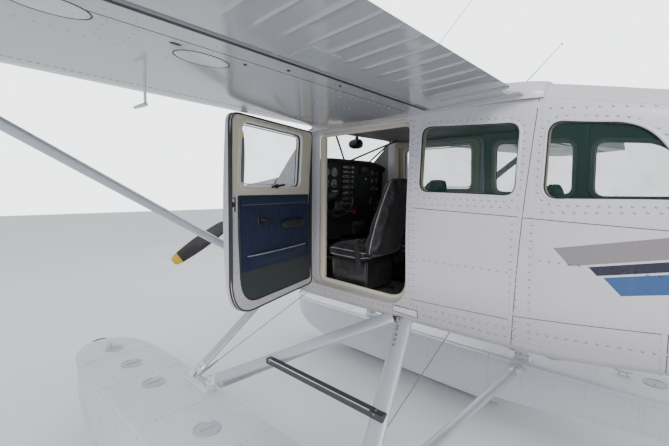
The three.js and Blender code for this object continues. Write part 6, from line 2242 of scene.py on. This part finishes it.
def dialInto(bags, x, h, r, hand=0.6, marks=12, span=1.0):
    # a round gauge: bezel, dark face with pale marks, a hand and its glass
    at = onPanel(x, h)
    put(bags["dark"], turned([(r + 6, 0), (r + 6, 3), (r + 3, 6), (r - 1, 6), (r - 2, 1), (0.5, 1)], 28), at)
    for k in range(marks):
        a = 2 * np.pi * span * k / marks + 0.3
        mid = np.array([np.cos(a), np.sin(a)]) * (r * 0.8)
        tick = at.copy()
        tick[:, 3] = at[:, :3] @ [mid[0], mid[1], 1.4] + at[:, 3]
        tick[:, :2] = at[:, :2] @ np.array([[np.cos(a), -np.sin(a)], [np.sin(a), np.cos(a)]])
        put(bags["pale"], boxShape(r * (0.22 if k % 3 == 0 else 0.13), 1.8, 0.5, 0.1), tick)
    turn = np.array([[np.cos(hand), -np.sin(hand)], [np.sin(hand), np.cos(hand)]])
    needle = at.copy()
    needle[:, :2] = at[:, :2] @ turn
    needle[:, 3] = at[:, :3] @ [*(turn @ [r * 0.28, 0]), 2.4] + at[:, 3]
    put(bags["pale"], boxShape(r * 0.95, 2.2, 0.6, 0.2), needle)
    put(bags["dark"], turned([(r * 0.12, 0), (r * 0.1, 2.5), (0.4, 3)], 10), at)
    put(bags["glass"], turned([(r - 1.5, 4.4), (r * 0.6, 5.2), (0.5, 5.4)], 24), at)


def knobInto(bag, x, h, r=8, out=14, off=0.0):
    # a turned knob on the panel, its radius and length in mm
    put(bag, turned([(r * 0.6, 0), (r * 0.6, out * 0.4), (r, out * 0.45), (r, out * 0.9), (r * 0.8, out),
                     (0.4, out)], 12),
        onPanel(x, h, off))


def buildPanel():
    # panel shell, gauges, radios, knobs, control wheels and pedals
    xs = np.r_[-506, -500, np.linspace(-485, 485, 57), 500, 506]
    rings = []
    arc = np.radians(np.linspace(95, -110, 9))
    for x in xs:
        a = abs(x)
        front = float(np.interp(a, [0, 395, 430, 506], [41, 41, 152, 404]))
        top = 2571 - 50 * np.clip((a - 230) / 276, 0, 1) ** 2.0
        s = np.linspace(front, 546, 14)
        line = np.where(s < 90, 2325 + (s - 40) * 1.4, 2395 + (s - 90) * 177 / 465)
        line = line - (2572 - top) * np.clip((s - front) / (555 - front), 0, 1)
        lip = np.column_stack([555 + 14 * np.cos(arc), top - 15 + 14 * np.sin(arc)])
        ring = np.vstack([[(front, 2284)], np.column_stack([s, line]), lip,
                          [(530, top - 40), (524, 2500), (505, 1851),
                          (478, 1851), (466, 2240), (front + 12, 2246)]])
        rings.append(np.insert(ring, 0, x, axis=1))
    body = loft("panelShell", rings)
    dress(body, "trim", replaces=("instrument_panel",))
    bags = {k: Bag() for k in ("dark", "pale", "glass", "metal", "grey", "red", "blue")}
    # flight gauges to port, engine gauges to starboard
    for i, x in enumerate((384, 286, 188)):
        for j, h in enumerate((2452, 2352)):
            dialInto(bags, x, h, 39, 0.7 + 1.9 * i + 0.8 * j, (12, 10, 14)[i])
    for i, x in enumerate((-350, -420)):
        for j, h in enumerate((2460, 2390, 2320)):
            dialInto(bags, x, h, 25, 0.4 + i + 1.3 * j, 8, 0.75)
    for h in (2470, 2405, 2340):
        dialInto(bags, 462, h, 21, h * 0.01, 8)
    # radio stack in the middle, with a wide unit to starboard
    put(bags["grey"], boxShape(430, 176, 5, 2), onPanel(24, 2318))
    for k, h in enumerate((2504, 2462, 2420, 2374, 2322, 2268, 2214, 2160)):
        put(bags["dark"], boxShape(34 if k < 3 else 44, 160, 12, 2), onPanel(24, h))
        put(bags["glass"], boxShape(12, 70, 1.2, 0.3), onPanel(44 - 22 * (k % 2), h + 4, 12))
        put(bags["pale"], boxShape(3, 46, 0.8, 0.2), onPanel(40, h + 3, 13.2))
        for x in (-42, -28, 86):
            knobInto(bags["metal"], x, h - 3, 7, 13, 12)
        for x in np.arange(-8, 76, 13):
            put(bags["pale"], boxShape(4, 7, 2, 0.6), onPanel(x, h - 10, 12))
    put(bags["dark"], boxShape(74, 156, 10, 3), onPanel(-228, 2488))
    for k in range(4):
        put(bags["grey"], boxShape(4, 128, 2, 0.6), onPanel(-228, 2466 + 14 * k, 10))
    put(bags["grey"], boxShape(150, 190, 6, 4), onPanel(-232, 2360))
    knobInto(bags["metal"], -232, 2400, 10, 16, 6)
    put(bags["pale"], boxShape(44, 70, 1.5, 0.5), onPanel(172, 2268, 0.5))
    put(bags["glass"], boxShape(34, 58, 1.5, 0.5), onPanel(172, 2268, 2.2))
    put(bags["dark"], boxShape(150, 250, 9, 3), onPanel(240, 2205, 0))
    # switches, push-pull knobs and breakers
    for k in range(12):
        x = 420 - 27 * k
        bags["metal"].tube(pipe(onPanelPath(x, 2198, [0, 6, 20], [0, 0, 7]), [5, 4, 3], 8))
    for k in range(20):
        knobInto(bags["dark"], -140 - 17 * k, 2240 - 24 * (k % 3), 5, 8)
    for x, key in ((62, "dark"), (24, "blue"), (-14, "red")):
        bags["metal"].tube(pipe(onPanelPath(x, 2096, [0, 30, 62], [0, 0, 0]), [4, 4, 4], 8))
        put(bags[key], turned([(12, 0), (20, 5), (21, 14), (16, 24), (0.5, 26)], 18), onPanel(x, 2096, 60))
    # control wheels on their shafts
    for x in (285, -285):
        bags["metal"].tube(pipe(onPanelPath(x, 2168, [0, 60, 150], [0, 0, 4]), [11, 11, 11], 12))
        centre = onPanel(x, 2168, 158)[:, 3]
        a = np.radians(np.linspace(-200, 20, 27))
        wheel = centre + np.column_stack([170 * np.cos(a) * 0.95, 14 * np.cos(2 * a), 120 * np.sin(a) + 24])
        bags["dark"].tube(pipe(wheel, np.r_[8, 13, 14, 14, np.full(19, 12), 14, 14, 13, 8], 12, up=(0, 1, 0)))
        put(bags["dark"], boxShape(86, 100, 34, 10), frameOf(centre - [0, 14, 8], (0, 1, 0)))
        for k in (-1, 1):
            bags["dark"].tube(pipe(np.array([centre + [k * 30, 0, -20], centre + [k * 70, 4, -50],
                                             centre + [k * 110, 8, -72]]), 11, 10, up=(0, 1, 0)))
    # pedestal and pedals
    put(bags["dark"], boxShape(350, 150, 110, 14), frameOf((10, 500, 1680), (0, 1, 0)))
    put(bags["dark"], boxShape(120, 170, 180, 12), frameOf((10, 500, 1925), (0, 1, 0.2)))
    for x in (360, 210, -210, -360):
        bags["metal"].tube(pipe(np.array([[x, 80, 1560], [x, 170, 1590], [x, 215, 1660]], float), 9, 10,
                                up=(1, 0, 0)))
        put(bags["grey"], boxShape(110, 80, 8, 4), frameOf((x, 212, 1690), (0, 1, 0.5)))
    for key, look in dict(dark="black", pale="dialWhite", glass="dial", metal="steel", grey="kick", red="red",
                          blue="navyPaint").items():
        dress(bags[key].object("panel" + key.title()), look)
    # windshield braces meeting on the deck, and the compass pod
    brace = Bag()
    for k in (1, -1):
        brace.tube(pipe(np.array([[k * 8, 486, 2548], [k * 214, 618, 2656], [k * 420, 750, 2760]], float),
                        8.5, 12))
        put(brace, turned([(22, 0), (22, 4), (12, 6), (10, 14)], 16),
            frameOf((k * 420, 750, 2764), (0, 0, -1)))
    put(brace, boxShape(60, 90, 7, 2), frameOf((0, 486, 2540), (0, 0.36, 1)))
    dress(brace.object("windshieldBraces"), "black")
    pod = Bag()
    turn = fullTurn(20)
    shape = [(-60, 24), (-56, 36), (-30, 44), (20, 46), (46, 40), (56, 26)]
    pod.tube([np.column_stack([-60 + r * 1.15 * np.cos(turn), np.full(20, 560 + s),
                               2716 + r * np.sin(turn)]) for s, r in shape])
    put(pod, turned([(34, 0), (30, 4), (14, 8), (12, 30)], 16), frameOf((-60, 570, 2790), (0, 0, -1)))
    pod.tube(pipe(np.array([[-60, 560, 2756], [-60, 566, 2775], [-60, 575, 2795]], float), 12, 12,
                  up=(1, 0, 0)))
    dress(pod.object("compassPod"), "black")
    print("panel made")


def onPanelPath(x, h, outs, lifts):
    # points at offsets and heights from one place on the panel
    return np.array([onPanel(x, h + lift, out)[:, 3] for out, lift in zip(outs, lifts)])


def superRing(a, b, count=56, power=3.6):
    # a rounded rectangle as a superellipse
    t = fullTurn(count)
    return np.column_stack([np.sign(np.cos(t)) * np.abs(np.cos(t)) ** (2 / power) * a,
                            np.sign(np.sin(t)) * np.abs(np.sin(t)) ** (2 / power) * b])


def softForm(name, rings, grain, cap=0.024):
    # a pad blown up by cloth simulation from a slightly small form, its movement capped, then refined
    obj = loft(name, rings, None)
    skin = obj.modifiers.new("remesh", "REMESH")
    skin.mode, skin.voxel_size = "VOXEL", grain
    applyModifiers(obj)
    mesh = obj.data
    scene = bpy.context.scene
    start = placesOf(mesh)
    cloth = obj.modifiers.new("swell", "CLOTH")
    cloth.settings.use_pressure = True
    cloth.settings.uniform_pressure_force = 4
    cloth.settings.effector_weights.gravity = 0
    cloth.settings.quality = 4
    cloth.point_cache.frame_start, cloth.point_cache.frame_end = 1, 20
    for tick in range(1, 21):
        scene.frame_set(tick)
    swollen = obj.evaluated_get(bpy.context.evaluated_depsgraph_get()).to_mesh()
    move = placesOf(swollen) - start
    obj.modifiers.clear()
    scene.frame_set(1)
    length = np.maximum(np.linalg.norm(move, axis=1), 1e-9)[:, None]
    mesh.vertices.foreach_set("co", (start + move / length * np.minimum(length, cap)).ravel())
    mesh.update()
    smooth = obj.modifiers.new("smooth", "SUBSURF")
    smooth.levels = smooth.render_levels = 1
    applyModifiers(obj)
    obj.data.shade_smooth()
    return obj


def laidOn(obj, points, lift):
    # a path pulled onto an object's surface, then lifted off it
    tree = BVHTree.FromObject(obj, bpy.context.evaluated_depsgraph_get())
    out = []
    for p in place(points):
        spot, normal, _, _ = tree.find_nearest(Vector(p))
        out.append(np.array(spot) + np.array(normal) * lift / 1000)
    return np.array(out) * 1000 + [0, origin * 1000, 0]


def smoothed(p, rounds=2, closed=True):
    # (before + 2 * here + after) / 4, repeated
    for _ in range(rounds):
        mid = (np.roll(p, 1, axis=0) + 2 * p + np.roll(p, -1, axis=0)) / 4
        if not closed:
            mid[0], mid[-1] = p[0], p[-1]
        p = mid
    return p


def seatSet(stem, x, station, width, backTop, length, lean, grain, ownNode, copyNode=None):
    # cushion, back, piping, seams, frame and legs of one seat, with a copy to starboard
    half = width / 2
    body = Bag()
    # cushion: rings across, waisted towards its seams
    rings = []
    for u in np.linspace(-1, 1, 17):
        ring = superRing((length - 44) / 2 * (1 - abs(u) ** 5 * 0.12), 44 * (1 - abs(u) ** 6 * 0.25), 48)
        ring = ring + [station + length / 2 - 4, 1808]
        ring[:, 1] += 8 * (station + length / 2 - ring[:, 0]) / length * 2
        rings.append(np.insert(ring, 0, x + u * (half - 14), axis=1))
    cushion = softForm(stem + "Cushion", rings, grain)
    # back: rings up its lean, shoulders drawn in
    low = np.array([station + length - 45, 1775.0])
    high = np.array([station + length - 25 + lean, float(backTop)])
    up = unit(high - low)
    out = np.array([up[1], -up[0]])
    tall = np.linalg.norm(high - low)
    rings = []
    for v in np.r_[0, 0.015, 0.04, np.linspace(0.08, 0.9, 14), 0.94, 0.97, 0.99, 1]:
        wide = (half - 14) * np.interp(v, [0, 0.08, 0.35, 0.62, 0.85, 0.95, 1],
                                       [0.86, 0.95, 1, 0.93, 0.78, 0.66, 0.5])
        deep = np.interp(v, [0, 0.05, 0.3, 0.7, 0.95, 1], [30, 44, 46, 36, 27, 14])
        ring = superRing(wide, deep, 56, 3.2)
        mid = low + up * tall * (0.02 + 0.96 * v)
        rings.append(np.column_stack([x + ring[:, 0], mid[0] + out[0] * ring[:, 1],
                                      mid[1] + out[1] * ring[:, 1]]))
    back = softForm(stem + "Back", rings, grain)
    # piping along the seams of both pads
    pipes = Bag()
    p = superRing(half - 6, (length - 20) / 2, 96, 5)
    lines = [(cushion, np.column_stack([x + p[:, 0], station + length / 2 + p[:, 1], np.full(96, level)]))
             for level in (1844, 1776)]
    v = 0.5 - 0.5 * np.cos(fullTurn(96))
    side = np.sin(fullTurn(96))
    wide = half * np.interp(v, [0, 0.08, 0.35, 0.62, 0.85, 0.95, 1], [0.86, 0.97, 1.02, 0.95, 0.8, 0.68, 0.5])
    side = np.sign(side) * np.minimum(1, np.abs(side) * 2.2)
    deep = np.interp(v, [0, 0.05, 0.3, 0.7, 0.95, 1], [30, 44, 46, 36, 27, 20]) * 0.8
    mid = low + up * tall * (0.01 + 0.98 * v)[:, None]
    lines.append((back, np.column_stack([x + side * wide, mid[:, 0] + out[0] * deep,
                                         mid[:, 1] + out[1] * deep])))
    for pad, path in lines:
        path = smoothed(laidOn(pad, path, 1.5), 3)
        pipes.tube(pipe(np.vstack([path, path[:1]]), 3.4, 8))
    # centre panel stitches of the back and the cushion: shallow dark cords
    seams = Bag()
    for u in (-0.5, 0.5):
        v = np.linspace(0.08, 0.9, 30)
        mid = low + up * tall * v[:, None]
        path = np.column_stack([x + np.full(30, u * half * 0.9), mid - out * 60])
        seams.tube(pipe(smoothed(laidOn(back, path, 0.4), 2, False), 2.2, 6))
        s = np.linspace(station + 40, station + length - 120, 24)
        path = np.column_stack([np.full(24, x + u * half * 0.9), s, np.full(24, 1890)])
        seams.tube(pipe(smoothed(laidOn(cushion, path, 0.4), 2, False), 2.2, 6))
    # base: a boxed frame on rails, with belts and buckles
    upright, ahead, middle = (0, 0, 1), (0, 1, 0), station + length / 2
    for k in (-1, 1):
        put(body, boxShape(length - 40, 26, 16, 3),
            frameOf((x + k * (half - 80), middle, 1500.5), upright, ahead))
        for stations in ((90, 76, 70), (length - 70, length - 62, length - 60)):
            leg = [[x + k * (half - inset), station + s, h] for inset, s,
                   h in zip((80, 72, 66), stations, (1516, 1640, 1752))]
            body.tube(pipe(np.array(leg), 12, 10, up=(1, 0, 0)))
    put(body, boxShape(length - 110, width - 130, 215, 12), frameOf((x, middle + 8, 1545), upright, ahead))
    put(body, boxShape(length - 50, width - 70, 10, 3), frameOf((x, middle, 1750), upright, ahead))
    belts, clasp = Bag(), Bag()
    for k in (-1, 1):
        p = arcPath([(x + k * (half + 4), station + length - 60, 1700),
                     (x + k * (half + 2), station + length - 90, 1840),
                     (x + k * (half - 60), station + length - 150, 1905),
                     (x + k * 50, station + length - 190, 1900)], 40)
        rings = []
        for a, b in zip(p, np.gradient(p, axis=0)):
            side = unit(np.cross(unit(b), np.array([k * 0.9, -0.1, 0.4])))
            nrm = unit(np.cross(unit(b), side))
            rings.append([a + side * u + nrm * v for u,
                          v in ((23, 1.2), (-23, 1.2), (-23, -1.2), (23, -1.2))])
        belts.tube(rings)
        put(clasp, boxShape(34 if k > 0 else 24, 60, 12, 3),
            frameOf(p[-1] + [0, 0, -4], (0, 0.1, 1), (0, 1, 0)))
    pieces = [(cushion, "seat"), (back, "seat")]
    pieces += [(bag.object(stem + ending), look) for bag, ending, look in
               ((body, "Frame", "black"), (pipes, "Piping", "piping"), (seams, "Stitches", "trim"),
                (belts, "Belts", "belt"), (clasp, "Buckles", "steel"))]
    for obj, look in pieces:
        copies = [(twin(obj, obj.name + "Right"), copyNode)] if copyNode else []
        for piece, name in (*copies, (obj, ownNode)):
            if look == "seat":
                dress(piece, look, replaces=(name,))
            else:
                dress(piece, look)


# distance out, station of the front edge, width, height and lean of the back and length in mm; grain in m
seats = dict(
    frontSeat=dict(x=275, station=690, width=460, backTop=2420, length=470, lean=165, grain=0.011,
                   ownNode="front_seat_left", copyNode="front_seat_right"),
    middleSeat=dict(x=265, station=1640, width=440, backTop=2380, length=470, lean=95, grain=0.0125,
                    ownNode="middle_seat_left", copyNode="middle_seat_right"),
    rearBench=dict(x=0, station=2400, width=760, backTop=2330, length=420, lean=95, grain=0.014,
                   ownNode="rear_bench"))


def buildSeats():
    # two front seats, two middle seats and the rear bench
    for stem, values in seats.items():
        seatSet(stem, **values)
    print("seats made")


buildPanel()
buildSeats()

floorMesh = meshObject("studioFloor", [(-40, -40, -0.003), (40, -40, -0.003), (40, 40, -0.003),
                                       (-40, 40, -0.003)],
                       [(0, 1, 2, 3)], None)
floorMesh.data.materials.append(floorMaterial())
